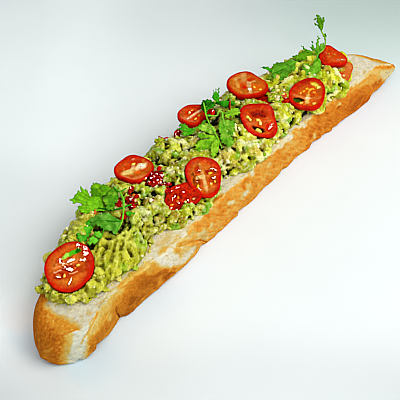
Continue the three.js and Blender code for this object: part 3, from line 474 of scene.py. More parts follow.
def make_bread():
    nx = 452
    u = np.linspace(0, 1, nx)
    x = BREAD_X0 + (BREAD_X1 - BREAD_X0) * (u - 0.03 * np.sin(2 * math.pi * u))
    rings, kind = bread_section(x)
    n, m = rings.shape[:2]
    # even out the small kinks of the section
    for _ in range(3):
        rings = 0.5 * rings + 0.25 * (np.roll(rings, 1, 1) + np.roll(rings, -1, 1))
    p = rings.reshape(-1, 3).copy()
    kinds = np.tile(kind, n)
    i, j = np.meshgrid(np.arange(n - 1), np.arange(m), indexing="ij")
    a, b = i * m + j, i * m + (j + 1) % m
    quads = np.stack([a, b, b + m, a + m], -1).reshape(-1, 4)
    ends = [p[:m].mean(0) - [0.2, 0, 0], p[-m:].mean(0) + [0.2, 0, 0]]
    p = np.concatenate([p, ends])
    kinds = np.concatenate([kinds, [1, 5]])
    k = np.arange(m)
    tris = np.concatenate([np.stack([np.full(m, n * m), (k + 1) % m, k], -1),
                           np.stack([np.full(m, n * m + 1), (n - 1) * m + k, (n - 1) * m + (k + 1) % m], -1)])
    fn = np.cross(p[quads[:, 2]] - p[quads[:, 0]], p[quads[:, 3]] - p[quads[:, 1]])
    nrm = np.zeros_like(p)
    for c in range(4):
        for ax in range(3):
            nrm[:, ax] += np.bincount(quads[:, c], fn[:, ax], len(p))
    nrm /= np.maximum(np.linalg.norm(nrm, axis=1, keepdims=True), 1e-9)
    if (nrm[kinds == 3][:, 2]).mean() < 0:
        nrm, quads, tris = -nrm, quads[:, ::-1], tris[:, ::-1]
    X, Y, Z = p.T
    yl, yr, top = along(LEFT_EDGE, X), along(RIGHT_EDGE, X), top_at(X)

    # place on the unrolled skin: up the right wall, then in over the cut face
    on_top = np.isin(kinds, [2, 3, 4])
    s = np.where(on_top, 25.0 + np.clip(Y - yr, 0, None) - 0.8 * (kinds == 4), np.minimum(Z, 25.0))
    s = np.where((X < -141) & on_top, 25.0 + (Y - yr) * smooth(-160, -150, X), s)
    broad = np.stack([noise(p, 9, 3), noise(p, 9, 4)], -1) * 1.3 + np.stack([noise(p, 3.6, 5), noise(p, 3.6, 6)], -1) * 1.0 + np.stack([noise(p, 1.5, 7), noise(p, 1.5, 8)], -1) * 0.55
    wx, ws = X + broad[:, 0], s + broad[:, 1]
    ang = math.radians(-42)
    streak_p = np.stack([(X * math.cos(ang) + s * math.sin(ang)) / 7.0, (-X * math.sin(ang) + s * math.cos(ang)) / 1.5, Y / 12.0], -1)
    streak = fbm(streak_p, 1, 3, 40)
    middle = smooth(-70, -60, X) * (1 - smooth(60, 78, X))
    wall = 0.59 - 0.04 * middle + 0.05 * fbm(p, 10, 3, 8)
    crumb = 0.035 + 0.09 * smooth(0.0, 0.6, fbm(p, 5.2, 3, 22)) + 0.12 * smooth(0.35, 0.75, noise(p, 3.2, 24)) * smooth(9, 3, Y - yr)
    tone = np.where(on_top, crumb, wall)
    edge = smooth(24.0, 25.6, ws)
    tone = np.where(np.isin(kinds, [4, 5]), wall * (1 - edge) + crumb * edge, tone)
    nose = smooth(-136.8, -143.0, X + 1.3 * broad[:, 0] + 0.10 * np.clip(Y + 8, -20, 20)) * 0.68
    tone = np.where(on_top & (X < -136), np.maximum(tone, nose * (s > 25.5)), tone)
    left = np.isin(kinds, [1, 2])
    right = ~left & (Y < yr + 14)
    for cx, cs, rx, rs, heading, target, strength in PAINT:
        near = (np.abs(X - cx) < rx * 1.5 + rs * 1.5 + 4) & (np.abs(s - cs) < rs * 1.5 + rx * 1.5 + 4) & ~(kinds == 1) & (kinds != 7)
        if not near.any():
            continue
        w = strength * blot(wx[near], ws[near], cx, cs, rx, rs, heading, 0.42)
        w = w * np.where(Y[near] > yr[near] + 15, smooth(yr[near] + 24, yr[near] + 15, Y[near]), 1.0)
        tone[near] = tone[near] * (1 - w) + target * w
    # the pale band that runs down the nose
    centre = np.interp(s, [0, 5, 10, 15, 20, 25, 30], [-144.8, -144.6, -143.8, -142.9, -141.2, -138.5, -136.5])
    half = np.interp(s, [0, 5, 10, 15, 20, 24, 26], [3.4, 3.5, 3.9, 3.7, 4.0, 4.6, 5.0])
    d_band = np.abs(X + 0.75 * broad[:, 0] - centre) - half
    w = (1 - smooth(-0.8, 0.8, d_band)) * np.isin(kinds, [4, 5, 6])
    reach = np.where(X + 0.75 * broad[:, 0] < centre, 6.0, 2.6) + 1.5 * noise(p, 2.0, 19)
    gold = (1 - smooth(0.2, 1.0, d_band / np.maximum(reach, 1.0))) * np.isin(kinds, [4, 5, 6])
    tone = tone * (1 - gold) + 0.36 * gold
    tone = tone * (1 - w) + (0.09 + 0.05 * fbm(p, 3, 2, 9)) * w
    # the middle stretch is painted a little lighter
    tone -= 0.075 * middle * smooth(0.38, 0.52, tone) * np.isin(kinds, [4, 5, 6])
    # streaks along the drawn skin
    crust = smooth(0.18, 0.45, tone)
    some = smooth(-76, -66, X) * (1 - 0.65 * smooth(84, 110, X))
    tone = tone + np.where(np.isin(kinds, [4, 5, 6]), (0.05 + 0.24 * some) * streak * smooth(0.12, 0.35, tone), 0)
    # the low part of the wall is painted darker towards the table
    tone += np.isin(kinds, [5, 6]) * 0.05 * smooth(5, 1, Z) * crust
    # left side and its rim, the nose and the far tip
    # the left side too is painted darker towards the table
    leftish = 0.72 + 0.10 * fbm(p, 12, 3, 14) + 0.05 * smooth(8, 1, Z)
    tone = np.where(kinds == 1, leftish, tone)
    from_left = yl - Y
    rim = 0.68 * (1 - smooth(2.0, 6.6, from_left + 0.9 * broad[:, 0] + np.where(X > 120, 0.7, 0) - 3.2 * smooth(145, 153, X) - 3.6 * smooth(-120, -132, X)))
    tone = np.where(on_top, np.maximum(tone, rim), tone)
    tip = smooth(144.5, 151.5, X + 0.9 * broad[:, 0] + 0.42 * (Y + 12)) * on_top * smooth(27.0, 29.5, s + 0.25 * (166 - X))
    tone = tone * (1 - tip) + tip * (0.50 + 0.12 * fbm(p, 5, 2, 9) + 0.12 * smooth(-18, -8, Y))
    tone = np.where(kinds == 7, 0.82 + 0.06 * fbm(p, 9, 2, 15), tone)
    g = tone[:-2].reshape(n, m)
    for _ in range(1):
        g = 0.6 * g + 0.1 * (np.roll(g, 1, 1) + np.roll(g, -1, 1)) + 0.1 * (np.concatenate([g[:1], g[:-1]]) + np.concatenate([g[1:], g[-1:]]))
    tone = np.concatenate([g.ravel(), [g[0].mean(), g[-1].mean()]])
    # creases
    wallish = np.isin(kinds, [4, 5, 6])
    d_notch, t_notch, s_notch = near_line(X, Z, NOTCH)
    d_flap, t_flap, s_flap = near_line(X + 0.3 * broad[:, 0], Z, FLAP)
    d_crack, t_crack, _ = near_line(X + 0.2 * broad[:, 0], Z, CRACK)
    # painted shade: the notch, the edge of the flap and the crack are painted darker along their lines, besides the
    # grooves cut into the relief below
    tone = np.where(wallish, np.maximum(tone, (0.72 + 0.26 * smooth(0.0, 0.8, t_notch)) * (1 - smooth(0.1, 0.9 + 0.5 * t_notch, d_notch))), tone)
    tone = np.where(wallish, np.maximum(tone, (0.5 + 0.26 * smooth(0.3, 0.7, t_flap)) * (1 - smooth(0.15, 0.75, d_flap))), tone)
    tone = np.where(wallish, tone + 0.30 * (1 - smooth(0.10, 0.55, d_crack)) * (1 - smooth(0.3, 0.5, tone)), tone)
    # toasted specks and pores of the crumb, freckles and small blisters of the crust
    f1, f2, rid = cells(p, 2.3, 31)
    # painted shade: the pores are painted darker as well as dented
    pore = (1 - smooth(0.12, 0.40, f1)) * (rid > 0.66) * (1 - smooth(0.16, 0.3, tone))
    patchy = smooth(-0.25, 0.45, noise(p, 9, 23))
    speck = smooth(0.30, 0.62, fbm(p, 1.25, 2, 21)) * (1 - smooth(0.2, 0.4, tone))
    tone += speck * 0.34 * patchy + 0.20 * pore
    crust = smooth(0.22, 0.5, tone)
    calm = 1 - 0.55 * smooth(-60, -40, X)
    tone += crust * calm * (0.035 * fbm(p, 1.7, 2, 16) + 0.03 * noise(p, 0.8, 17))
    fb1, _, fb_id = cells(p, 4.6, 33)
    blister = (1 - smooth(0.08, 0.24, fb1)) * (fb_id > 0.84)
    tone -= crust * 0.22 * blister
    # specks of flour and fine freckles, most of all on the near end
    ff1, _, ff_id = cells(p, 2.0, 34)
    end_on = smooth(-112, -136, X)
    tone += crust * calm * (0.05 + 0.05 * end_on) * noise(p, 1.3, 35) - crust * 0.17 * (1 - smooth(0.15, 0.42, ff1)) * (ff_id > 0.72) * (0.25 + 0.75 * end_on)

    stops = [(0.0, (218, 212, 197)), (0.10, (214, 203, 173)), (0.24, (212, 189, 128)), (0.37, (212, 173, 90)), (0.50, (210, 155, 64)),
             (0.62, (203, 134, 46)), (0.72, (186, 112, 34)), (0.82, (161, 92, 27)), (1.0, (94, 50, 15)), (1.2, (46, 24, 8))]
    xs = np.array([q[0] for q in stops])
    cols = np.array([srgb(*q[1]) for q in stops])
    tint = np.stack([np.interp(tone, xs, cols[:, k]) for k in range(3)], -1)
    tint *= (1 + 0.05 * noise(p, 2.2, 18))[:, None]
    # the middle and far stretches of the wall are more orange, the near one is greyer, and so is the crumb next to the nose
    orange = smooth(-66, -40, X) * crust * wallish
    dull = (1 - smooth(-90, -64, X)) * wallish * (X > -150)
    grey = (1 - smooth(-118, -96, X)) * on_top * (1 - crust)
    tint *= np.stack([1 + 0.05 * orange, 1 - 0.045 * orange, 1 + 0.0 * orange], -1)
    tint *= np.stack([1 - 0.02 * dull, 1 + 0.07 * dull, 1 + 0.2 * dull], -1)
    tint *= np.stack([1 - 0.10 * grey, 1 - 0.09 * grey, 1 - 0.08 * grey], -1)

    # relief
    d = crust * (0.30 * fbm(p, 9, 2, 50) + 0.12 * noise(p, 1.8, 51) + 0.25 * blister) + (1 - crust) * (0.28 * noise(p, 3.0, 52) + 0.26 * noise(p, 1.2, 53) - 0.8 * pore)
    d += 0.50 * streak * some * np.isin(kinds, [5]) * smooth(2, 5, Z)
    swell_b = np.exp(-((X + 100) / 9.0) ** 2) * smooth(-111.2, -108.8, X) * smooth(22, 9, Z)
    swell_a = np.exp(-((X + 113) / 6.0) ** 2) * smooth(-108.2, -110.4, X) * smooth(22, 9, Z)
    d += np.where(wallish, 1.1 * swell_b - 0.3 * swell_a - 1.2 * (1 - smooth(0.2, 1.6, d_notch)) * smooth(0.0, 0.2, t_notch), 0)
    d += np.where(wallish, (0.7 * (s_flap > 0) - 0.3) * (1 - smooth(0.5, 7.0, d_flap)) * smooth(0, 0.25, t_flap) - 0.5 * (1 - smooth(0.1, 0.8, d_flap)), 0)
    d += np.where(wallish, -0.5 * (1 - smooth(0.1, 0.6, d_crack)) * (Z > 12), 0)
    d += np.where(wallish, np.interp(X + 0.4 * broad[:, 0], [q[0] for q in KNOBS], [q[1] for q in KNOBS]) * smooth(16, 6, Z), 0)
    # the notch parts the foot
    d += np.where(wallish, -1.6 * np.exp(-((X + 107.2) / 1.6) ** 2) * smooth(6, 1, Z), 0)
    d *= np.where(kinds == 7, 0.0, smooth(0.0, 1.2, Z))
    p = p + nrm * d[:, None]
    p[:, 2] = np.maximum(p[:, 2], 0.0)
    # the spread hides this part of the cut face
    hidden = (X > -134) & (X < 130) & (kinds == 3) & (Y < along(MASH_LEFT, X) - 3) & (Y > along(MASH_RIGHT, X) + 3)
    p[hidden, 2] = np.minimum(p[hidden, 2], BREAD_HEIGHT - 0.2)
    o = mesh("bread_slice", p, [quads, tris], BREAD_MAT, tint)
    place(o, "bread", "bread")
    return o


# ---------------------------------------------------------------- the toppings' places
VIEW_SIDE = math.radians(40.54)
SLICES = {
    1: dict(at=(-119.5, 0.2, 37.2), tilt=27, r=13.6, shape=(-0.018, 0.059, -0.011, 0.007, 0.01, -0.014), t=4.2),
    2: dict(at=(-44.5, 22.6, 40.2), tilt=8, r=11, shape=(0.039, 0.021, -0.008, -0.012, 0.028, 0.036), t=4.2, squash=0.16),
    3: dict(at=(-21.5, -11.3, 38.4), tilt=30, r=11.5, shape=(-0.081, -0.068, -0.026, 0.047, -0.014, 0.012), t=4.2),
    4: dict(at=(13.2, 26.3, 41), tilt=5, r=9.4, shape=(0.058, 0.136, 0.014, 0.102, 0.035, 0.054), t=4.2, squash=0.11),
    5: dict(at=(54.9, 18.1, 42.2), tilt=8, r=11.9, shape=(0.073, -0.053, 0.036, -0.043, 0.03, -0.04), t=4.2, squash=0.10),
    6: dict(at=(36, -7.1, 40.2), tilt=28, r=11.5, shape=(-0.009, -0.1, -0.052, 0.013, -0.063, -0.029), t=4.2),
    7: dict(at=(77.6, -13.8, 37.4), tilt=24, r=11.5, shape=(0.024, 0.063, -0.058, -0.006, -0.011, 0.009), t=4.2),
    8: dict(at=(116.1, -4.6, 38.6), tilt=20, r=8, shape=(0.078, -0.17, 0.124, -0.115, 0.039, -0.017), t=4.2),
    9: dict(at=(118.9, -13, 30.6), tilt=14, r=7.3, shape=(-0.102, 0.032, -0.012, 0.095, -0.024, 0.012), t=2.6),
    10: dict(at=(-38.1, -8.8, 33.2), tilt=16, r=9.3, shape=(0.152, 0.2, 0.1, -0.035, -0.024, -0.06), t=3.4),
    11: dict(at=(61.2, 2.7, 35.6), tilt=6, r=9.8, shape=(0.25, -0.011, -0.033, 0.051, 0.059, -0.042), t=3.4),
}


def slice_axes(s):
    t, a = math.radians(s["tilt"]), VIEW_SIDE
    n = np.array([-math.sin(t) * math.cos(a), -math.sin(t) * math.sin(a), math.cos(t)])
    u = np.array([math.sin(a), -math.cos(a), 0])
    return u, np.cross(n, u), n


def slice_radius(s, phi):
    c2, s2, c3, s3, c4, s4 = s["shape"]
    return s["r"] * (1 - s.get("squash", 0) * np.maximum(np.sin(phi), 0)) * (1 + c2 * np.cos(2 * phi) + s2 * np.sin(2 * phi) + c3 * np.cos(3 * phi) + s3 * np.sin(3 * phi) + c4 * np.cos(4 * phi) + s4 * np.sin(4 * phi))


def in_slice(s, p):
    """Sideways distance outside the slice's edge (negative inside), and height over its middle plane."""
    u, v, n = slice_axes(s)
    d = p - np.array(s["at"])
    a, b, c = d @ u, d @ v, d @ n
    return np.hypot(a, b) - slice_radius(s, np.arctan2(b, a)), c


# ---------------------------------------------------------------- mashed avocado
MASH_X0, MASH_X1, MASH_CROWN, MASH_LUMP = -138.0, 134.0, 12.6, 1.5
MASH_LEFT = [(-138, 3), (-134, 9.5), (-124, 15.2), (-108, 19.2), (-92, 25), (-70, 29.5), (-30, 30.5), (20, 30), (50, 28), (75, 24.5),
             (98, 19.5), (118, 13.5), (128, 6), (134, -2)]
MASH_RIGHT = [(-138, -3), (-134, -8), (-127, -14.5), (-116, -17), (-92, -20.6), (-80, -19.6), (-68, -12.2), (-54, -14.2), (-38, -20.2),
              (-24, -21), (-7, -14.4), (12, -17), (30, -19.4), (42, -15.8), (58, -18.4), (76, -19.2), (92, -20.2), (112, -20.8), (123, -15),
              (130, -10), (134, -6)]
MASH_PEAKS = [(-19.5, 26.5, 5.5, 4.4), (-103, 15.5, 3, 7), (-57, 25, 2.2, 7), (40, 20, 2.4, 6), (95, 11, 2, 8)]
MASH_BASE = BREAD_HEIGHT


def mash_top(x, y, lumps=0.6):
    """Height over the cut face of the CAD spread's upper surface."""
    yl, yr = along(MASH_LEFT, x), along(MASH_RIGHT, x)
    c = np.clip((y - (yl + yr) / 2) / np.maximum((yl - yr) / 2, 0.1), -1, 1)
    rise = (1 - np.abs(c) ** 3.4) ** 0.62
    crown = MASH_CROWN * (0.78 + 0.22 * smooth(-138, -100, x)) * (1 - 0.5 * smooth(104, 132, x)) * (1 + 0.07 * np.sin(x / 17))
    lump = lumps * MASH_LUMP * (waves(x, y, 17, 0.9) * 2.1 + waves(x, y, 9, 2.3) * 1.2)
    peak = sum(up * np.exp(-((x - px) ** 2 + (y - py) ** 2) / (w * w)) for px, py, up, w in MASH_PEAKS)
    end = np.minimum(1, 0.25 + np.minimum(x - MASH_X0, MASH_X1 - x) / 9)
    return 1.5 + np.maximum(0.6, (crown + lump) * rise + peak) * np.clip(end, 0, 1)


# places where the spread dips into a hollow that is also painted dark as painted shade: x, y, radius, depth
HOLLOWS = [(31.4, 8.2, 4.4, 8), (19.0, 14.4, 4.6, 8), (-27.4, 19.2, 4.4, 9), (-36.5, 1.5, 3.4, 9), (-89.7, 8.6, 3.8, 6), (66.3, -22.7, 3.0, 9), (-28.3, 13.5, 3.0, 8),
           (-101.3, 2.8, 3.0, 6), (32, 27.5, 2.4, 6), (110.3, -7.1, 2.4, 6), (-2.6, 0.8, 2.6, 7), (-80, 0.6, 3.2, 7), (8.6, -1.4, 2.2, 7), (-58.2, 11.2, 3.0, 8),
           (-56.3, -10.3, 2.4, 7), (63.2, 7.5, 2.2, 4), (-64.1, 7, 2.2, 6), (-63.8, 1.8, 2.0, 6), (-56.9, -17.8, 2.4, 5), (-65.1, 15.8, 2, 7), (35.5, -10.3, 2, 6), (2, 20.5, 2.2, 6),
           (-0.4, -12.6, 1.9, 7), (-72.2, 12.5, 2.6, 7), (-85.3, 0.9, 2.4, 6), (-91.7, -1.5, 2.0, 5), (26.3, 20.5, 1.6, 6), (-56, 3.5, 1.6, 6), (-73.5, -13.0, 2.0, 6),
           (26.9, -2.6, 1.6, 6), (2.5, 15.5, 1.6, 5), (-47.2, 7.2, 1.6, 6), (-66.4, -10.5, 2.0, 5), (40.1, -17.0, 1.4, 6), (15.7, -16.0, 1.5, 6), (-70.6, 2.0, 1.6, 5),
           (-15.5, 25.5, 2.4, 6), (57, -14.5, 2.8, 7), (48, -12, 1.6, 5), (-12, -7, 2.2, 5), (101, -7, 2.2, 4), (-5, 6, 2, 5), (-97, -3, 1.6, 3),
           (-28.7, 16.7, 2.0, 7), (-31.2, 10.5, 1.8, 6), (-38.7, -1.6, 1.8, 6), (-56.6, 3.2, 1.6, 6), (-2.6, -2.5, 1.8, 6), (14.7, -14.7, 1.6, 6),
           (-4.4, -13.3, 1.6, 6), (31.3, 5.7, 1.8, 6), (-1.7, 16.6, 1.6, 5), (24.2, 15.9, 1.8, 6)]


def ridge_zone(x, y):
    return smooth(-113, -106, x) * smooth(-74, -81, x + 0.3 * y) * smooth(14, 6, y)


def ridges(x, y):
    """The marks of a fork in the near part of the spread."""
    a = math.radians(32)
    q = np.stack([x, y, 0 * x], -1)
    across = -x * math.sin(a) + y * math.cos(a) + 1.9 * noise(q, 9, 55) + 0.8 * noise(q, 3.5, 56)
    wave = np.cos((across - 33.7) / 4.6 * 2 * math.pi)
    gate = 0.45 + 0.55 * smooth(-0.3, 0.3, noise(q, 11, 58))
    return ridge_zone(x, y) * (0.8 - 2.5 * gate * smooth(0.1, 1.0, wave) + 1.3 * noise(q, 4.4, 57) + 0.5 * noise(q, 2, 59))


# smooth, creamy stretches of the spread: x, y, half length, half width, how much
CREAMY = [(17, -12.5, 9, 5.5, 1.0), (8, -12.5, 6, 5, 0.85), (24, -17.5, 7, 4.5, 0.95), (12.5, -16.5, 6, 4, 0.9)]
SMEAR = [(13.0, -9.8), (15.5, -12.2), (18, -13.8), (22, -15.8), (28, -17.0)]


def creamy(x, y):
    most = 0.85 * smooth(42, 56, x)
    for cx, cy, rx, ry, much in CREAMY:
        most = np.maximum(most, much * np.exp(-((x - cx) / rx) ** 4 - ((y - cy) / ry) ** 4))
    return most


def gap(x, y):
    return smooth(64.5, 67.5, x) * (1 - smooth(76.5, 78.5, x)) * smooth(-15.0, -17.0, y + 0.12 * (x - 71))


def make_mash():
    rng = np.random.default_rng(11)
    # smaller core
    nx, ny = 330, 60
    xs = np.linspace(MASH_X0 + 1.2, MASH_X1 - 1.2, nx)
    rings = []
    for x in xs:
        yl, yr = along(MASH_LEFT, x) - 1.2, along(MASH_RIGHT, x) + 1.2
        y = np.linspace(yl, yr, ny)
        xx = np.full(ny, x)
        h = mash_top(xx, y) - 3.2 + 2.2 * ridge_zone(xx, y) + ridges(xx, y)
        for hx, hy, hr, hd in HOLLOWS:
            h -= hd * np.exp(-((xx - hx) ** 2 + (y - hy) ** 2) / (hr * hr))
        z = MASH_BASE + np.maximum(0.5 - 0.7 * gap(xx, y), h - 14 * gap(xx, y))
        ring = np.stack([xx, y, z], -1)
        rings.append(np.concatenate([ring, [[x, yr + 0.5, MASH_BASE - 0.4], [x, yl - 0.5, MASH_BASE - 0.4]]]))
    m = ny + 2
    core = np.concatenate(rings)
    i, j = np.meshgrid(np.arange(nx - 1), np.arange(m), indexing="ij")
    a, b = i * m + j, i * m + (j + 1) % m
    q = np.stack([a, b, b + m, a + m], -1).reshape(-1, 4)
    core_f = np.concatenate([q[:, [0, 1, 2]], q[:, [0, 2, 3]]])
    k = np.arange(1, m - 1)
    caps = np.concatenate([np.stack([0 * k, k + 1, k], -1), np.stack([0 * k + (nx - 1) * m, (nx - 1) * m + k, (nx - 1) * m + k + 1], -1)])
    core_f = np.concatenate([core_f, caps])

    # lumps
    n = 3900
    x = rng.uniform(MASH_X0 + 1, MASH_X1 - 1, n)
    v = rng.uniform(-1, 1, n)
    keep = rng.uniform(0, 1, n) < (along(MASH_LEFT, x) - along(MASH_RIGHT, x)) / 52
    x, v = x[keep], v[keep]
    n = len(x)
    rad = np.clip(np.exp(rng.normal(math.log(2.25), 0.5, n)), 0.8, 5.2)
    yl, yr = along(MASH_LEFT, x), along(MASH_RIGHT, x)
    half, mid = (yl - yr) / 2, (yl + yr) / 2
    y = mid + v * (half + 0.9 - 0.15 * rad)
    shape = np.stack([rng.uniform(0.95, 1.6, n), rng.uniform(0.75, 1.1, n), rng.uniform(0.6, 0.95, n)], -1) * rad[:, None]
    rot = turns(rng, n, 0.75)
    small = 1 - 0.4 * smooth(-116, -128, x)
    shape, rad = shape * small[:, None], rad * small
    thin = ridge_zone(x, y) > 0.3
    shape[thin] *= 0.8
    top = mash_top(x, y) + rng.normal(-0.25, 1.25, n) + np.where(thin, ridges(x, y) - 1.9, 0)
    spare = thin & (rng.uniform(0, 1, n) < 0.84)
    for hx, hy, hr, hd in HOLLOWS:
        top -= 1.15 * hd * np.exp(-((x - hx) ** 2 + (y - hy) ** 2) / (hr * hr * 1.1))
    zr = shape[:, 2] * 0.85
    z = MASH_BASE + np.maximum(top - zr, 0.35 * rad)
    drop = (top - zr) < -0.5
    centre = np.stack([x, y, z], -1)
    ok = ~drop & ~spare & ~((x < -131) & (y < -7)) & ~((x < -126.5) & (y < -11.5))
    for s in SLICES.values():
        side, over = in_slice(s, centre)
        under = -s["t"] / 2 - 0.1
        hit = (side < 0.45 * rad) & (over > under - 0.8 * rad)
        push = (over - (under - 0.82 * rad))
        centre[:, 2] = np.where(hit, centre[:, 2] - push / math.cos(math.radians(s["tilt"])), centre[:, 2])
    ok &= centre[:, 2] > MASH_BASE + 0.2
    centre, shape, rot, rad = centre[ok], shape[ok], rot[ok], rad[ok]
    # a little of it hangs over the rim
    m = 26
    dx, dz = rng.uniform(78.5, 86.5, m), rng.uniform(20.5, 26.5, m)
    hang = np.stack([dx, along(RIGHT_EDGE, dx) - 0.2 + 0.5 * np.clip(dz - 24, 0, 3), dz], -1)
    hr = rng.uniform(1.1, 1.9, m)
    centre, rad = np.concatenate([centre, hang]), np.concatenate([rad, hr])
    shape = np.concatenate([shape, np.stack([hr, hr * 0.8, hr], -1)])
    rot = np.concatenate([rot, turns(rng, m, 0.4)])
    n = len(centre)
    unit, uf = icosphere(2)
    cut = rng.normal(size=(n, 9, 3))
    cut /= np.linalg.norm(cut, axis=2, keepdims=True)
    reach = rng.uniform(0.62, 1.05, (n, 9))
    pts = np.empty((n, len(unit), 3))
    for lo in range(0, n, 1000):
        hi = min(n, lo + 1000)
        facing = np.maximum(np.einsum("nkj,mj->nkm", cut[lo:hi], unit), 0.12)
        r = np.minimum((reach[lo:hi, :, None] / facing).min(1), 1.15)
        pts[lo:hi] = np.einsum("nij,nkj->nki", rot[lo:hi], unit[None] * r[..., None] * shape[lo:hi, None, :]) + centre[lo:hi, None, :]
    solid = pts[(gap(centre[:, 0], centre[:, 1] - 0.5 * rad) < 0.35) | (centre[:, 0] > 78.4)]
    lump_v = solid.reshape(-1, 3)
    lump_f = (uf[None] + (np.arange(len(solid)) * len(unit))[:, None, None]).reshape(-1, 3)
    allv = np.concatenate([core, lump_v])
    allf = np.concatenate([core_f, lump_f + len(core)])

    rough = mesh("mash_rough", allv, allf, MASH_MAT)
    mod = rough.modifiers.new("join", "REMESH")
    mod.mode, mod.voxel_size, mod.adaptivity = "VOXEL", 0.00073, 0.0
    dg = bpy.context.evaluated_depsgraph_get()
    me = bpy.data.meshes.new_from_object(rough.evaluated_get(dg))
    old = rough.data
    bpy.data.objects.remove(rough)
    bpy.data.meshes.remove(old)
    nv = len(me.vertices)
    co = np.zeros(nv * 3, np.float32)
    me.vertices.foreach_get("co", co)
    p = co.reshape(-1, 3).astype(float) * 1000 + ORIGIN
    ed = np.zeros(len(me.edges) * 2, np.int32)
    me.edges.foreach_get("vertices", ed)
    ed = ed.reshape(-1, 2)
    me.calc_loop_triangles()
    lt = np.zeros(len(me.loop_triangles) * 3, np.int32)
    me.loop_triangles.foreach_get("vertices", lt)
    lt = lt.reshape(-1, 3)
    # keep the biggest shell
    label = np.arange(nv)
    for _ in range(60):
        lo = np.minimum(label[ed[:, 0]], label[ed[:, 1]])
        new = label.copy()
        np.minimum.at(new, ed[:, 0], lo)
        np.minimum.at(new, ed[:, 1], lo)
        new = new[new]
        if (new == label).all():
            break
        label = new
    ids, counts = np.unique(label, return_counts=True)
    main = label == ids[counts.argmax()]
    remap = -np.ones(nv, int)
    remap[main] = np.arange(main.sum())
    lt = remap[lt[main[lt].all(1)]]
    ed = remap[ed[main[ed].all(1)]]
    p = p[main]
    bpy.data.meshes.remove(me)

    soft = creamy(p[:, 0], p[:, 1])
    smear = 1 - smooth(0.5, 2.4, near_line(p[:, 0] + 0.8 * noise(p, 3, 93), p[:, 1] + 0.8 * noise(p, 3, 94), SMEAR)[0])
    p = p + (smoothed(p, ed, 9) - p) * (0.8 * soft)[:, None]
    nrm = normals_of(p, lt)
    p[:, 2] += 0.9 * smear * smooth(MASH_BASE + 1, MASH_BASE + 4, p[:, 2])
    grain = (0.58 * fbm(p, 3.4, 2, 61) + 0.24 * noise(p, 1.5, 62)) * (1 - 0.35 * soft)
    f1, f2, rid = cells(p, 2.6, 63)
    grain += (0.34 * (0.5 - f1) + 0.12 * (f2 - f1)) * smooth(-0.4, 0.5, noise(p, 7, 69))
    p = p + nrm * (grain * smooth(MASH_BASE - 0.2, MASH_BASE + 0.8, p[:, 2]))[:, None]
    for s in SLICES.values():
        side, over = in_slice(s, p)
        low = -s["t"] / 2 - 0.15
        hit = (side < 0.25) & (over > low)
        n_s = slice_axes(s)[2]
        p[hit] -= ((over - low)[hit])[:, None] * n_s
    p[:, 2] = np.maximum(p[:, 2], MASH_BASE - 0.35)
    nrm = normals_of(p, lt)
    fine_cav = ((smoothed(p, ed, 4) - p) * nrm).sum(1)
    wide_cav = ((smoothed(p, ed, 40) - p) * nrm).sum(1)
    deep = clamp01((mash_top(p[:, 0], p[:, 1]) + MASH_BASE - p[:, 2] - 0.6) / 5.0)

    # tint of each lump
    tree = KDTree(n)
    for idx, c3 in enumerate(centre):
        tree.insert(c3, idx)
    tree.balance()
    near = np.array([tree.find(q)[1] for q in p])
    pick = rng.uniform(0, 1, n)
    nearpart = smooth(-50, -80, centre[:, 0] + rng.normal(0, 8, n))
    far_tints = [(0.00, (190, 188, 28)), (0.22, (206, 212, 48)), (0.40, (226, 228, 100)), (0.54, (166, 190, 22)), (0.67, (132, 184, 18)), (0.77, (242, 240, 184)), (0.87, (170, 148, 24)), (0.94, (210, 192, 90))]
    near_tints = [(0.00, (182, 180, 44)), (0.26, (196, 194, 60)), (0.46, (174, 174, 36)), (0.60, (206, 206, 84)), (0.74, (158, 184, 38)), (0.84, (206, 196, 98)), (0.92, (186, 178, 48))]

    def choose(table, t):
        k = np.array([srgb(*c) for _, c in table])
        at = np.array([a for a, _ in table])
        i = np.clip(np.searchsorted(at, t, side="right") - 1, 0, len(at) - 1)
        return k[i]

    tint_l = choose(far_tints, pick) * (1 - nearpart[:, None]) + choose(near_tints, pick) * nearpart[:, None]
    tint = tint_l[near]
    tint = smoothed(tint, ed, 2)
    patch = noise(p, 6.5, 65)
    tint = mix(tint, srgb(128, 166, 36), 0.35 * smooth(0.25, 0.7, patch))
    tint = mix(tint, srgb(214, 200, 140), 0.25 * smooth(0.3, 0.75, noise(p, 3.1, 66)))
    # pale cream patches in the far part, partly cream-coloured mash and partly painted highlight
    tint = mix(tint, srgb(236, 234, 206), 0.6 * smooth(0.35, 0.75, noise(p, 4.2, 89)) * smooth(-84, -70, p[:, 0]))
    # painted highlight: the crests of the lumps are painted pale, and broad crests a little lighter
    pale = smooth(0.04, -0.26, fine_cav) * (0.35 + 0.65 * smooth(-0.1, 0.5, noise(p, 2.0, 67)))
    tint = mix(tint, mix(srgb(226, 224, 150), mix(srgb(248, 246, 212), srgb(236, 236, 150), smooth(50, 64, p[:, 0])), smooth(-84, -70, p[:, 0])), (0.55 + 0.1 * smooth(-84, -70, p[:, 0])) * pale)
    tint = tint * (1.0 + 0.14 * smooth(0.2, -1.0, wide_cav))[:, None]
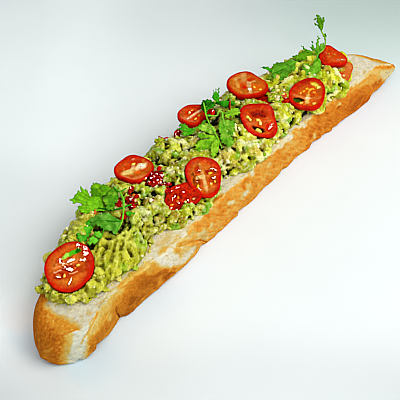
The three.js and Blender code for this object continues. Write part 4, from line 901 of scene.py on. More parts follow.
    # painted shade: crevices and broad hollows are painted olive-dark, and near black where broad and deep
    dark = smooth(0.00, 0.24, fine_cav) * 0.7 * (1 - 0.5 * soft) + smooth(0.05, 1.0, wide_cav) * 0.8 * (1 - 0.25 * soft)
    tint = mix(tint, srgb(96, 82, 4), clamp01(dark) * (0.72 + 0.28 * smooth(-84, -70, p[:, 0])))
    rough = smooth(-84, -70, p[:, 0]) * (1 - 0.45 * smooth(92, 104, p[:, 0]))
    tint = mix(tint, srgb(18, 12, 1), clamp01((0.35 + 0.65 * rough) * (1 - 0.4 * soft) * (smooth(0.32, 0.95, wide_cav) * 0.95 + 0.85 * smooth(0.3, 0.85, deep) * smooth(-0.25, 0.35, wide_cav))))
    tint = tint * (1 + 0.10 * soft)[:, None]
    tint = mix(tint, srgb(246, 242, 228), 0.62 * smear * smooth(-0.5, 0.2, noise(p, 2.4, 95)) * smooth(0.5, 0.1, wide_cav))
    # painted shade: the recess under the edge of the seventh slice is painted near black
    tint = mix(tint, srgb(20, 13, 3), 0.9 * smooth(0.05, 0.45, gap(p[:, 0], p[:, 1] - 0.9)) * smooth(0.3, 0.9, deep))
    # the far two thirds are a little darker, and the hollows are painted darkest, as painted shade
    tint = tint * (0.94 - 0.13 * rough)[:, None] * np.stack([0 * rough + 1, 0 * rough + 1, 1.04 - 0.18 * rough], -1)
    hole = np.zeros(len(p))
    for hx, hy, hr, hd in HOLLOWS:
        hole = np.maximum(hole, np.exp(-((p[:, 0] - hx) ** 2 + (p[:, 1] - hy) ** 2) / (1.3 * hr * hr)))
    tint = mix(tint, srgb(16, 10, 2), (0.3 + 0.6 * rough) * smooth(0.35, 0.75, hole) * smooth(0.25, 0.6, deep))
    tint = np.minimum(tint, 0.92)
    print("mash faces", len(lt), "points", len(p))
    o = mesh("avocado_spread", p, lt, MASH_MAT, tint)
    place(o, "avocado", "avocado_mash")
    make_crumble(p, lt, nrm, wide_cav)
    return o, p, lt


def make_crumble(p, lt, nrm, wide_cav):
    """Rice-sized crumbs that lie on the spread."""
    rng = np.random.default_rng(77)
    unit, uf = icosphere(1)
    area = np.linalg.norm(np.cross(p[lt[:, 1]] - p[lt[:, 0]], p[lt[:, 2]] - p[lt[:, 0]]), axis=1)
    pick = rng.choice(len(lt), 5200, p=area / area.sum())
    at, up, cav = p[lt[pick]].mean(1), nrm[lt[pick, 0]], wide_cav[lt[pick, 0]]
    keep = (up[:, 2] > -0.1) & (at[:, 2] > MASH_BASE + 1.0) & (cav < 0.9)
    keep &= (ridge_zone(at[:, 0], at[:, 1]) < 0.4) | (rng.uniform(0, 1, len(at)) < 0.15)
    for s in SLICES.values():
        side, over = in_slice(s, at)
        keep &= ~((side < 0.9) & (over > -s["t"] / 2 - 1.4))
    at, up = at[keep][:520], up[keep][:520]
    kinds = [srgb(*c) for c in [(226, 224, 160), (210, 210, 96), (186, 188, 56), (236, 234, 196), (160, 176, 44), (214, 210, 116), (170, 156, 48), (150, 182, 50)]]
    pile = Pile()
    cut = rng.normal(size=(len(at), 7, 3))
    cut /= np.linalg.norm(cut, axis=2, keepdims=True)
    rot = turns(rng, len(at))
    for i in range(len(at)):
        r = float(np.clip(np.exp(rng.normal(math.log(0.6), 0.36)), 0.34, 1.3))
        facing = np.maximum(cut[i] @ unit.T, 0.15)
        rr = np.minimum((rng.uniform(0.6, 1.0, 7)[:, None] / facing).min(0), 1.2)
        q = (unit * rr[:, None] * np.array([rng.uniform(1.0, 1.7), 1.0, rng.uniform(0.6, 0.9)]) * r) @ rot[i].T + at[i] + up[i] * 0.15 * r
        pile.add(q, uf, kinds[int(rng.integers(0, len(kinds)))])
    v, f, c = pile.arrays()
    place(mesh("avocado_crumble", v, f, MASH_MAT, c), "avocado")


# ---------------------------------------------------------------- tomato slices
RED, DEEP, FLESH, ORANGE, GEL = srgb(216, 22, 0), srgb(168, 8, 0), srgb(212, 70, 10), srgb(224, 110, 28), srgb(188, 52, 4)
# the near-black colour is painted shade in slits and open pockets
CREAM, PINK, OLIVE, SLIT_SHADE, LEAFG = srgb(240, 226, 178), srgb(226, 132, 92), srgb(110, 96, 18), srgb(14, 8, 2), srgb(96, 186, 34)
GOLD, LIME = srgb(232, 190, 78), srgb(214, 214, 110)

# what the cut face of each slice shows, in tenths of its radius, x right and y up as the photo has it:
# pockets (x, y, half length, half width, heading, depth mm, colour), ribs (x0, y0, x1, y1, half width, height mm, colour, strength),
# spots (x, y, half length, half width, heading, colour, strength), seeds (x, y, heading, size, colour)
FACES = {
    1: dict(skin=0.05, flesh=srgb(206, 124, 44), tones=[(20, srgb(168, 44, 6), 0.85, 0.35, 0.8)],
            pockets=[(-1.0, 4.6, 5.6, 1.5, 33, 0.9, srgb(190, 70, 12)), (-0.4, 0.9, 4.2, 1.6, 15, 0.5, srgb(206, 110, 50)), (-0.8, -2.4, 6.4, 2.4, 18, 0.6, srgb(186, 64, 10)), (-4.2, -3.8, 2.2, 1.4, 10, 0.6, srgb(176, 56, 10))],
            ribs=[(-6.5, -0.9, 3.4, 2.6, 0.55, 0.35, srgb(226, 140, 80), 0.8), (-4, -6.5, 6, -3.0, 1.0, 0.2, srgb(216, 120, 40), 0.6), (-7, 3.5, 2, 8.3, 1.0, 0.15, srgb(212, 112, 40), 0.6), (-6, -2.6, -3.5, -1.3, 0.28, 0.3, srgb(240, 210, 170), 0.7),
                  (0, -3.0, 3.2, -2.1, 0.26, 0.3, srgb(240, 200, 150), 0.7)],
            spots=[(1.2, 5.6, 3.2, 0.95, 25, LEAFG, 1.0), (-1.6, 4.1, 1.6, 0.9, 45, srgb(170, 222, 90), 1.0), (3.2, 6.4, 1.3, 0.8, 10, srgb(40, 120, 12), 1.0), (-4.6, -3.8, 1.0, 1.0, 0, srgb(226, 150, 80), 0.8), (-4.6, -3.8, 0.5, 0.5, 0, srgb(150, 60, 20), 0.8)],
            glints=[(-0.9, 0.7, 2.2, 1.6, 20), (0.6, 2.2, 1.6, 0.6, 20), (0.2, -1.3, 1.5, 0.6, -20), (-3.9, 2.2, 2.2, 0.8, 48), (5.0, 2.5, 1.2, 0.8, 20), (3.4, 9.0, 1.1, 0.7, 60), (5.8, 6.9, 1.3, 0.8, 70), (6.5, 5.0, 1.0, 0.6, 40), (0.6, -6.2, 1.5, 0.35, 70), (-4.2, -4.4, 0.9, 0.3, 0)],
            seeds=[(-1.8, -3.7, 80, 0.95, GOLD), (3.5, 0.5, 20, 0.95, GOLD), (-3.2, -0.6, 30, 0.7, ORANGE), (2.2, -0.6, 40, 0.8, ORANGE)]),
    2: dict(skin=0.05, ring=0.3, flesh=srgb(190, 104, 28), tones=[(90, srgb(188, 42, 8), 0.95, 0.3, 0.7), (180, srgb(206, 64, 8), 0.7, 0.4, 0.8), (265, srgb(204, 134, 52), 0.7, 0.5, 0.85)],
            pockets=[(-3.4, 0.2, 2.6, 1.6, 30, 0.5, srgb(204, 78, 12)), (2.2, -3.2, 1.7, 1.5, 20, 0.7, srgb(222, 110, 24)), (1.0, 3.4, 4.6, 1.4, 10, 0.4, srgb(192, 62, 16)), (5.6, -0.8, 1.6, 1.1, 40, 0.4, srgb(206, 90, 24))],
            ribs=[(-5, -4.2, -1.5, -3.4, 1.5, 0.15, srgb(228, 200, 122), 0.7), (-1.6, -3.0, 4.6, 1.6, 1.25, 0.2, srgb(232, 206, 130), 0.75), (-1, -1.5, -0.4, 1.8, 0.7, 0.15, CREAM, 0.5), (5.6, 2.0, 4.6, 4.6, 0.7, 0.15, srgb(206, 160, 60), 0.5), (-8, -5.6, 0, -8.0, 0.7, 0.12, srgb(216, 140, 96), 0.6), (0, -8.0, 7.5, -5.0, 0.7, 0.12, srgb(216, 140, 96), 0.6)],
            spots=[(3.6, 0.4, 3.4, 1.9, 35, srgb(240, 230, 190), 0.6), (4.0, 0.6, 1.8, 1.1, 35, srgb(246, 242, 214), 0.7), (-3.4, -3.6, 2.8, 1.4, 20, srgb(232, 212, 140), 0.6), (-0.6, 5.4, 0.9, 0.6, 0, srgb(224, 150, 110), 0.7)],
            glints=[(3.6, 0.4, 1.0, 0.5, 30)],
            seeds=[(-0.4, 2.0, 35, 1.05, srgb(236, 214, 84)), (-5.4, -1.6, 40, 0.7, ORANGE)]),
    3: dict(skin=0.07, flesh=srgb(198, 112, 32), low=0.05, tones=[(30, srgb(196, 46, 8), 0.8, 0.5, 0.85), (180, srgb(206, 52, 8), 0.7, 0.6, 0.9), (268, srgb(206, 134, 50), 0.7, 0.4, 0.85)],
            pockets=[(-3.0, 3.0, 2.2, 1.7, 60, 0.6, srgb(180, 60, 12)), (3.9, 2.4, 2.4, 1.9, 20, 0.7, srgb(180, 72, 12)), (4.3, -2.6, 2.4, 2.0, -40, 0.7, srgb(184, 76, 14)), (-4.0, -3.2, 3.6, 1.7, 105, 0.9, srgb(168, 82, 14))],
            ribs=[(-0.4, -0.4, -2.0, 5.6, 0.7, 0.35, srgb(222, 170, 100), 0.85), (-0.4, -0.4, 1.6, -7.6, 0.85, 0.4, srgb(230, 190, 130), 0.95), (-0.4, -0.6, -3.4, -0.9, 0.8, 0.35, srgb(236, 206, 140), 0.9), (-0.4, -0.4, 2.6, 0.2, 0.5, 0.3, srgb(216, 140, 84), 0.7), (0.4, 4.5, 1.4, 2, 0.5, 0.2, srgb(214, 130, 70), 0.4)],
            # painted shade: the two dark olive marks at the left are the shade in a slit
            spots=[(-1.2, -0.8, 1.6, 1.1, 0, srgb(232, 196, 132), 0.8), (-5.5, 0.6, 1.6, 0.6, 80, srgb(60, 36, 6), 0.9), (-5.3, -2.6, 1.7, 0.5, 100, srgb(84, 44, 6), 0.85), (1.6, 2.0, 0.9, 1.3, 20, srgb(150, 26, 6), 0.8), (-3.4, -2.4, 0.7, 0.6, 100, srgb(96, 10, 4), 0.85), (-3.1, -7.2, 0.6, 0.4, 0, srgb(200, 150, 90), 0.6)],
            glints=[(-2.3, 2.7, 0.65, 0.35, 20), (4.4, 3.7, 1.1, 0.3, 5), (5.9, 3.0, 0.9, 0.28, -48), (4.8, -1.3, 0.9, 0.25, -35), (5.6, -0.8, 0.5, 0.25, 60), (3.3, -4.0, 0.5, 0.2, -50), (-2.6, -6.6, 0.4, 0.25, 0), (-1.9, -7.4, 0.35, 0.22, 0), (-3.3, -3.3, 0.3, 0.2, 0)],
            seeds=[(3.3, 1.4, 10, 1.05, srgb(232, 190, 56)), (-2.9, -5.6, 80, 1.1, srgb(238, 196, 50)), (3.8, -4.3, 60, 0.9, GOLD), (-3.0, 0.5, 20, 0.8, ORANGE), (5.6, -2.8, 100, 0.7, GOLD), (2.5, -4.0, 100, 0.7, ORANGE)]),
    4: dict(skin=0.06, ring=0.5, flesh=srgb(206, 84, 18), low=0.2, tones=[(90, srgb(200, 48, 6), 0.8, 0.3, 0.8), (200, srgb(208, 132, 74), 0.6, 0.5, 0.8)],
            pockets=[(-2.4, 1.0, 3.4, 1.9, 25, 0.7, srgb(200, 48, 6)), (2.4, -3.6, 3.8, 1.9, 35, 0.7, srgb(206, 66, 10)), (3.4, 3.9, 2.2, 1.2, 30, 0.4, srgb(196, 50, 8))],
            ribs=[(-3.6, -5.0, 5.8, 3.2, 0.75, 0.4, srgb(236, 208, 160), 0.95), (-8.5, -4.2, 0, -8.0, 0.8, 0.12, srgb(216, 130, 90), 0.6), (0, -8.0, 5, -7.0, 0.8, 0.12, srgb(206, 120, 70), 0.6)],
            spots=[(-5.6, -5.0, 2.6, 1.4, 20, srgb(210, 132, 84), 0.6)],
            glints=[(-3.9, -5.4, 0.6, 0.4, 40), (-2.6, -0.2, 0.5, 0.3, 40)],
            seeds=[(-2.8, 0.4, 75, 1.05, srgb(236, 200, 96)), (-1.0, 2.8, 30, 0.9, srgb(216, 150, 40)), (3.4, -2.0, 60, 0.9, srgb(216, 150, 40)), (1.2, -5.0, 50, 0.95, srgb(232, 180, 70)), (6.2, 0.6, 20, 0.8, ORANGE)]),
    5: dict(skin=0.06, ring=0.25, flesh=srgb(190, 110, 34), low=0.14, tones=[(70, srgb(206, 92, 24), 0.6, 0.6, 0.9), (180, srgb(208, 140, 50), 0.5, 0.3, 0.8)],
            pockets=[(-1.4, -1.6, 2.7, 2.4, 60, 0.7, srgb(204, 88, 16)), (5.4, -2.6, 3.0, 2.0, -20, 0.5, srgb(216, 112, 20)), (2.8, 3.0, 1.8, 1.4, 0, 0.5, srgb(200, 74, 14)), (-5.0, -0.4, 1.3, 3.2, 20, 0.3, srgb(206, 122, 30))],
            ribs=[(1.8, -6.2, 1.0, 0.4, 1.0, 0.3, srgb(228, 204, 150), 0.8), (1.4, 0.4, 4.2, 1.6, 0.7, 0.3, srgb(226, 186, 120), 0.7), (-1.4, 2.0, -1.6, 7.0, 1.5, 0.2, srgb(212, 160, 96), 0.85), (-4.4, -2.0, -6.0, 3.5, 0.8, 0.2, srgb(214, 172, 96), 0.7), (-6.0, 3.0, -1, 5.8, 0.9, 0.2, srgb(212, 166, 104), 0.6), (-7.2, -2.6, -2.4, -6.8, 0.6, 0.15, srgb(222, 150, 60), 0.6), (0, -7.4, 6, -5.8, 0.6, 0.12, srgb(214, 150, 90), 0.5)],
            spots=[(-1.2, -2.4, 1.2, 1.0, 0, srgb(196, 26, 4), 0.8), (1.6, -4.4, 1.1, 0.9, 0, srgb(226, 226, 190), 0.9), (1.0, 2.6, 0.7, 0.9, 0, srgb(190, 40, 8), 0.7)],
            glints=[(1.5, -4.5, 0.8, 0.5, 60)],
            seeds=[(4.0, -2.3, 110, 0.95, srgb(240, 200, 70)), (7.2, -4.1, 20, 0.95, srgb(236, 190, 60)), (-2.0, 0.8, 50, 0.7, ORANGE)]),
    6: dict(skin=0.09, flesh=srgb(196, 86, 16), tones=[(90, srgb(196, 50, 4), 0.8, 0.4, 0.8), (215, srgb(208, 112, 46), 0.6, 0.3, 0.7), (280, srgb(214, 120, 36), 0.7, 0.6, 0.9)],
            # painted shade: the deep pocket and the slit at the bottom are painted near black
            pockets=[(-0.6, 3.2, 4.6, 2.2, 0, 0.7, srgb(172, 40, 8)), (-0.6, -5.6, 3.6, 1.15, -25, 1.3, SLIT_SHADE), (5.4, -4.2, 2.6, 2.0, 70, 0.4, srgb(206, 46, 4)), (-5.3, 0.6, 2.2, 1.2, -52, 0.5, srgb(190, 90, 20)), (0.2, -1.2, 1.6, 2.4, 0, 0.4, srgb(206, 90, 24))],
            ribs=[(-8, -2.6, -2.0, -2.6, 0.8, 0.2, srgb(214, 124, 70), 0.7), (-3.8, -1.4, 6.0, -0.8, 0.6, 0.25, srgb(212, 126, 62), 0.65), (4.4, 0.6, 5.6, -2.2, 0.6, 0.15, srgb(214, 110, 50), 0.5), (-3.0, -7.8, 4.6, -8.2, 0.8, 0.12, srgb(220, 120, 40), 0.6)],
            spots=[(-1.4, 2.4, 2.6, 1.2, 5, srgb(120, 14, 3), 0.85), (-3.0, 4.2, 1.2, 0.8, 0, srgb(140, 24, 4), 0.7), (1.2, 4.2, 1.3, 0.8, 20, srgb(132, 20, 4), 0.7), (2.2, 2.0, 1.0, 1.4, 60, srgb(120, 18, 3), 0.8), (1.9, -5.9, 1.5, 0.8, -20, SLIT_SHADE, 0.9)],
            glints=[(6.4, -3.6, 1.2, 0.75, 60), (5.6, -5.1, 0.8, 0.35, 40), (-4.6, -0.4, 0.4, 0.3, 0)],
            seeds=[(-6.0, 1.2, -40, 1.15, srgb(226, 214, 96)), (-4.9, -0.3, -60, 0.95, srgb(230, 216, 110)), (-0.6, -0.3, -10, 1.15, srgb(236, 214, 100)), (0.5, -2.0, 95, 1.25, srgb(240, 206, 130)), (-0.4, -6.2, -28, 1.75, srgb(206, 206, 96))]),
    7: dict(skin=0.09, flesh=srgb(192, 94, 18), tones=[(100, srgb(176, 40, 4), 0.9, 0.45, 0.75), (180, srgb(206, 84, 18), 0.4, 0.4, 0.9)],
            pockets=[(-0.2, 1.6, 4.8, 1.9, 12, 0.6, srgb(206, 104, 14)), (-6.0, -4.0, 2.9, 1.25, -8, 1.3, srgb(30, 100, 6)), (-3.0, -5.9, 2.2, 1.0, 0, 0.5, srgb(206, 110, 24)), (2.8, -5.8, 2.6, 1.4, 20, 0.5, srgb(206, 100, 20)), (4.6, 5.0, 3.2, 1.4, -38, 0.6, srgb(190, 150, 40))],
            ribs=[(-7.6, -1.0, -0.8, -3.2, 0.8, 0.35, srgb(212, 136, 76), 0.85), (-0.4, -3.0, 7.4, -2.4, 0.6, 0.3, srgb(212, 134, 66), 0.6), (-0.6, -5.0, -0.2, -0.6, 1.0, 0.35, srgb(236, 206, 120), 0.85), (-0.4, -1.0, 0.6, 1.2, 0.6, 0.3, srgb(226, 180, 90), 0.7)],
            # painted shade: the two near-black marks at the left are the shade in a slot
            spots=[(4.0, 5.6, 2.2, 1.1, -20, srgb(226, 212, 90), 0.9), (6.4, 3.8, 0.9, 1.0, -60, srgb(232, 226, 130), 0.9), (6.9, 2.4, 0.9, 0.9, 0, srgb(150, 90, 20), 0.5), (-1.0, 8.2, 5, 1.1, 20, srgb(150, 16, 2), 0.55), (-3.4, -3.7, 1.8, 0.5, -16, SLIT_SHADE, 0.95), (-5.8, -3.0, 2.2, 0.4, -6, SLIT_SHADE, 0.8), (-0.2, -2.8, 1.6, 0.5, 0, srgb(240, 206, 170), 0.8)],
            glints=[(0.0, -3.0, 0.7, 0.3, 0)],
            seeds=[(1.4, 2.4, 30, 1.05, srgb(236, 180, 50)), (-2.2, 1.6, 20, 1.0, srgb(226, 160, 34)), (-0.4, 3.0, 10, 0.95, srgb(232, 176, 44)), (2.9, 2.9, -20, 0.9, srgb(228, 170, 44)), (-3.9, 0.4, 60, 0.95, srgb(226, 150, 30)), (3.4, 0.6, 0, 1.0, srgb(230, 150, 30)), (-3.8, -5.6, 20, 1.05, srgb(236, 186, 76)), (3.2, -6.0, 15, 1.1, srgb(236, 184, 90)), (0.2, 0.4, 80, 0.8, srgb(226, 160, 50)), (-2.4, -6.6, 0, 0.8, ORANGE)]),
    8: dict(skin=0.05, full=True, ring=0.25, flesh=srgb(204, 78, 12), low=0.3, tones=[(180, srgb(176, 30, 2), 0.8, 0.3, 0.8)],
            pockets=[(-4.5, 0.6, 2.4, 2.2, 40, 0.4, srgb(190, 54, 6)), (3.2, 2.0, 3.2, 1.6, -30, 0.3, srgb(200, 84, 18))],
            ribs=[(-3.0, 0.6, 1.6, -1.8, 1.4, 0.2, srgb(206, 112, 40), 0.6), (-5.2, 5.4, -3.2, 2.2, 0.7, 0.15, srgb(206, 120, 90), 0.5), (4.6, -3.0, 10.6, -3.0, 1.0, 0.2, srgb(206, 136, 112), 0.75), (0, -3.4, 5, -4, 1.0, 0.15, srgb(206, 110, 60), 0.6), (-7, -6.6, 9, -7.4, 1.6, -0.5, srgb(196, 30, 2), 0.95)],
            spots=[(-1.6, 0.4, 1.4, 0.9, 0, srgb(206, 130, 50), 0.6)], glints=[(8.4, -3.0, 0.9, 0.3, 0)], seeds=[(-2.0, 2.6, 30, 0.8, srgb(206, 120, 40)), (2.6, 2.2, -20, 0.85, srgb(206, 128, 44))]),
    9: dict(skin=0.01, ring=0.1, faded=0.6, flesh=srgb(206, 122, 60), tones=[],
            pockets=[(-1.5, 0.5, 3.4, 2.6, 10, 0.3, srgb(196, 176, 70)), (0.4, -6.0, 1.4, 1.2, 0, 0.3, srgb(206, 110, 50))],
            ribs=[(-8, -5.5, 0, -4.2, 1.0, 0.1, srgb(200, 60, 20), 0.7)],
            spots=[(0.4, -6.0, 1.2, 1.0, 0, srgb(226, 204, 150), 0.9), (6, 3, 3, 3, 0, srgb(212, 140, 84), 0.6)], seeds=[(-2.0, 0.4, 10, 0.9, GOLD)]),
    10: dict(skin=0.02, ring=0.15, flesh=srgb(196, 52, 16), low=0.1, wrinkle=0.7, wet=True, tones=[(60, srgb(198, 44, 8), 0.7, 0.3, 0.8)],
             pockets=[(-5.6, -7.0, 3.2, 3.0, 60, 0.9, srgb(190, 50, 10)), (-4.6, -0.6, 2.4, 1.2, 55, 0.6, srgb(160, 14, 4)), (5.8, -4.2, 2.8, 1.4, 10, 0.6, srgb(196, 74, 30))],
             ribs=[(-9, -1, -3.5, 3.0, 1.0, 0.4, srgb(200, 50, 14), 0.6), (-8, -9, -4.0, -4.5, 0.7, 0.5, srgb(200, 60, 20), 0.6), (3, 6, 8, 8, 1.0, 0.3, srgb(200, 64, 30), 0.5)],
             spots=[(0.5, -6.5, 2.4, 1.8, 0, srgb(150, 6, 0), 0.6), (2.5, 2, 3, 2, 30, srgb(196, 30, 4), 0.5)],
             glints=[(-4.9, -1.6, 1.9, 0.45, 62), (-5.6, -2.8, 0.8, 0.4, 80), (3.8, -3.8, 0.8, 0.4, -40), (-1.7, -5.4, 0.7, 0.35, 80), (1.0, 2.2, 0.5, 0.5, 0), (-7.6, 2.0, 1.6, 0.3, 35), (-6.4, -9.0, 0.6, 0.3, 0), (-2.8, 5.2, 1.2, 0.3, 25)],
             seeds=[(-6.2, -6.6, 20, 1.1, srgb(232, 130, 20)), (-2.4, -1.6, 100, 0.95, srgb(226, 126, 20)), (-7.4, -10.4, 30, 1.0, srgb(230, 136, 30)), (-2.8, -4.4, 60, 0.8, srgb(222, 110, 20)), (7.4, -2.6, 30, 0.8, srgb(226, 170, 110)), (6.0, -5.4, 0, 0.7, srgb(226, 170, 120))]),
    11: dict(skin=0.02, ring=0.15, flesh=srgb(190, 26, 4), low=0.1, wrinkle=0.4, wet=True, tones=[],
             pockets=[(-5, -5, 1.6, 1.3, 0, 0.3, srgb(190, 40, 16))],
             ribs=[(0, -7.5, 12, -5.5, 1.2, 0.3, srgb(190, 22, 6), 0.6)],
             spots=[(-5.0, -5.0, 0.8, 0.7, 0, srgb(226, 120, 96), 0.8), (8, -6, 2, 0.8, 10, srgb(206, 80, 36), 0.6)], glints=[(-5.0, -5.0, 0.6, 0.5, 0), (-1.5, -0.4, 0.8, 0.3, -60)], seeds=[]),
}


def oval(x, y, f, soft=0.3):
    cx, cy, a, b, ang = f[:5]
    t = math.radians(ang)
    dx, dy = x - cx, y - cy
    d = np.hypot((dx * math.cos(t) + dy * math.sin(t)) / a, (-dx * math.sin(t) + dy * math.cos(t)) / b)
    return 1 - smooth(1 - soft, 1 + soft, d)


def bar(x, y, x0, y0, x1, y1, w):
    dx, dy = x1 - x0, y1 - y0
    t = clamp01(((x - x0) * dx + (y - y0) * dy) / (dx * dx + dy * dy))
    return 1 - smooth(0.25, 1.6, np.hypot(x - x0 - t * dx, y - y0 - t * dy) / w)


def film_slope(at, u, v, n):
    """Slope that a drop of juice at this place needs to mirror the overhead strip light into the picture."""
    away = EYE - metres(at)
    away = away / np.linalg.norm(away)
    best = None
    for sx in np.linspace(-0.28, 0.02, 9):
        lamp = np.array([sx, STRIP_AT[1], STRIP_AT[2]]) - metres(at)
        h = away + lamp / np.linalg.norm(lamp)
        h = h / np.linalg.norm(h)
        if best is None or h @ n > best @ n:
            best = h
    return -(best @ u) / (best @ n), -(best @ v) / (best @ n)


def add_drop(drops, at, n, u, v, long, wide, heading, colour):
    """A flat-topped drop of juice that mirrors the overhead strip light."""
    ga, gb = film_slope(at, u, v, n)
    m = n - ga * u - gb * v
    m = m / np.linalg.norm(m)
    t = math.radians(heading)
    e1 = u * math.cos(t) + v * math.sin(t)
    e1 = e1 - m * (e1 @ m)
    e1 = e1 / np.linalg.norm(e1)
    e2 = np.cross(m, e1)
    th = np.arange(16) * math.pi / 8
    wob = 1 + 0.16 * np.sin(2 * th + 7 * at[0]) + 0.10 * np.sin(3 * th + 5 * at[1])
    ring = np.outer(long * wob * np.cos(th), e1) + np.outer(wide * wob * np.sin(th), e2)
    mid = at + n * (0.12 + max(0.0, -(ring @ n).min()) * 0.7)
    top = np.concatenate([mid + ring, [mid]])
    skirt = np.concatenate([mid + ring, mid + 1.3 * ring - 0.6 * n, [mid - 0.8 * n]])
    j = np.arange(16)
    k = (j + 1) % 16
    drops.add(top, np.stack([0 * j + 16, j, k], -1), colour)
    drops.add(skirt, np.concatenate([np.stack([j, j + 16, k + 16], -1), np.stack([j, k + 16, k], -1), np.stack([0 * j + 32, k + 16, j + 16], -1)]), colour)


def make_slice(k, s, seeds, drops):
    face, u, v, n = FACES[k], *slice_axes(s)
    at, t = np.array(s["at"], float), s["t"] / 2
    ns, nr = 150, 38
    phi = np.arange(ns) * 2 * math.pi / ns
    edge = slice_radius(s, phi)
    if face.get("full"):
        # no dent in the outline
        ex, ey = edge * np.cos(phi), edge * np.sin(phi)
        edge = edge.copy()
        for i0 in range(ns):
            for i1 in range(i0 + 6, i0 + ns // 2 - 6):
                if i1 - i0 > 50:
                    break
                j0, j1 = i0, i1 % ns
                ax, ay, bx, by = ex[j0], ey[j0], ex[j1], ey[j1]
                between = np.arange(i0 + 1, i1) % ns
                den = (bx - ax) * np.sin(phi[between]) - (by - ay) * np.cos(phi[between])
                chord = ((bx - ax) * ay - (by - ay) * ax) / np.where(np.abs(den) < 1e-9, 1e-9, den)
                edge[between] = np.where((chord > edge[between]) & (chord < 12), chord, edge[between])
    # profile from the middle of the cut face over the rim to the middle of the under face: share of the radius, height
    rho = list(np.linspace(0.0, 0.925, nr)[1:])
    prof = [(r, 0.94, 0) for r in rho]
    prof += [(0.955, 0.935, 1), (0.975, 0.86, 1), (0.990, 0.70, 1), (0.998, 0.45, 1), (1.0, 0.15, 1), (0.998, -0.15, 1), (0.99, -0.45, 1), (0.965, -0.72, 1), (0.92, -0.9, 1),
             (0.86, -0.97, 2), (0.6, -0.97, 2), (0.3, -0.97, 2)]
    rr = np.array([q[0] for q in prof])[:, None] * edge[None]
    hh = np.array([q[1] for q in prof])[:, None] * t + 0 * rr
    kinds = np.array([q[2] for q in prof])[:, None] + 0 * rr
    a, b = (rr * np.cos(phi)).ravel(), (rr * np.sin(phi)).ravel()
    h, kinds = hh.ravel(), kinds.ravel()
    share = (rr / edge[None]).ravel()
    a, b = np.append(a, [0, 0]), np.append(b, [0, 0])
    h, kinds, share = np.append(h, [0.94 * t, -0.97 * t]), np.append(kinds, [0, 2]), np.append(share, [0, 0])
    x, y = a / s["r"] * 10, b / s["r"] * 10
    q3 = np.stack([a, b, h * 0 + 31.7 * k], -1)
    wx, wy = x + 0.45 * noise(q3, 2.6, 70), y + 0.45 * noise(q3, 2.6, 71)
    top = kinds == 0
    fade = 1 - smooth(0.86, 0.93, share)
    # colours
    flesh = face["flesh"]
    col = np.broadcast_to(flesh, (len(a), 3)).copy()
    radial = fbm(np.stack([np.cos(np.arctan2(b, a)) * 6, np.sin(np.arctan2(b, a)) * 6, share * 1.2 + k], -1), 1, 2, 72)
    around = np.arctan2(b, a)
    for head, c, strength, lo, hi in face["tones"]:
        w = strength * smooth(0.1, 0.95, np.cos(around - math.radians(head))) * smooth(lo, hi, share)
        col = mix(col, c, w)
    col = mix(col, srgb(214, 130, 52), 0.35 * smooth(0.0, 0.7, radial) * smooth(0.1, 0.5, share))
    col = mix(col, DEEP, 0.22 * smooth(0.1, 0.8, -radial))
    col = mix(col, srgb(204, 60, 8), 0.5 * smooth(0.1, 0.7, noise(q3, 4.6, 82)))
    col = mix(col, srgb(202, 52, 6), face.get("ring", 0.62) * smooth(0.56, 0.87, share + 0.06 * noise(q3, 3.0, 83)))
    col *= (0.98 + 0.22 * fbm(q3, 3.0, 2, 73) + 0.15 * noise(q3, 1.1, 85))[:, None]
    rel = 0.20 * noise(q3, 3.4, 74) + 0.10 * noise(q3, 1.2, 75)
    for f in face["pockets"]:
        w = oval(wx, wy, f) * fade
        col = mix(col, f[6], 0.92 * w)
        inner = oval(wx, wy, (f[0], f[1], f[2] * 0.75, f[3] * 0.7, f[4]), 0.6)
        rel = rel - w * f[5] + inner * 0.35 * f[5]
        lip = clamp01(oval(wx, wy, (f[0], f[1], f[2] + 0.7, f[3] + 0.7, f[4]), 0.2) - w)
        col = mix(col, srgb(216, 110, 50), 0.2 * lip * fade)
        rel = rel + 0.06 * lip
    for x0, y0, x1, y1, w0, up, c, strength in face["ribs"]:
        w = bar(wx, wy, x0, y0, x1, y1, w0) * fade * (0.82 + 0.3 * noise(q3, 2.4, 81))
        col = mix(col, c, strength * w)
        rel = rel + 0.6 * w * up
    for f in face["spots"]:
        w = oval(wx, wy, f, 0.35) * fade
        if f[5].sum() < 0.3:
            w = w * clamp01(0.85 + 1.0 * noise(q3, 1.6, 88))
        col = mix(col, f[5], f[6] * w)
    wet = np.zeros(len(a))
    wr = face.get("wrinkle", 0)
    if wr:
        rel = rel + 1.2 * wr * (np.abs(noise(q3, 4.0, 76)) - 0.2) + 0.5 * wr * noise(q3, 1.9, 77)
        col = mix(col, srgb(120, 6, 0), 0.55 * smooth(0.0, 0.6, noise(q3, 3.2, 86)))
        col = mix(col, srgb(200, 60, 14), 0.4 * smooth(0.0, 0.6, noise(q3, 2.7, 90)))
    rel = rel + 0.30 * bool(face.get("wet")) * noise(q3, 1.7, 84)
    # a slight dishing so that no slice is perfectly flat
    warp3 = 0.35 * noise(np.stack([x, y, 0 * x + k * 3.3], -1), 9, 80) * (share**1.5)
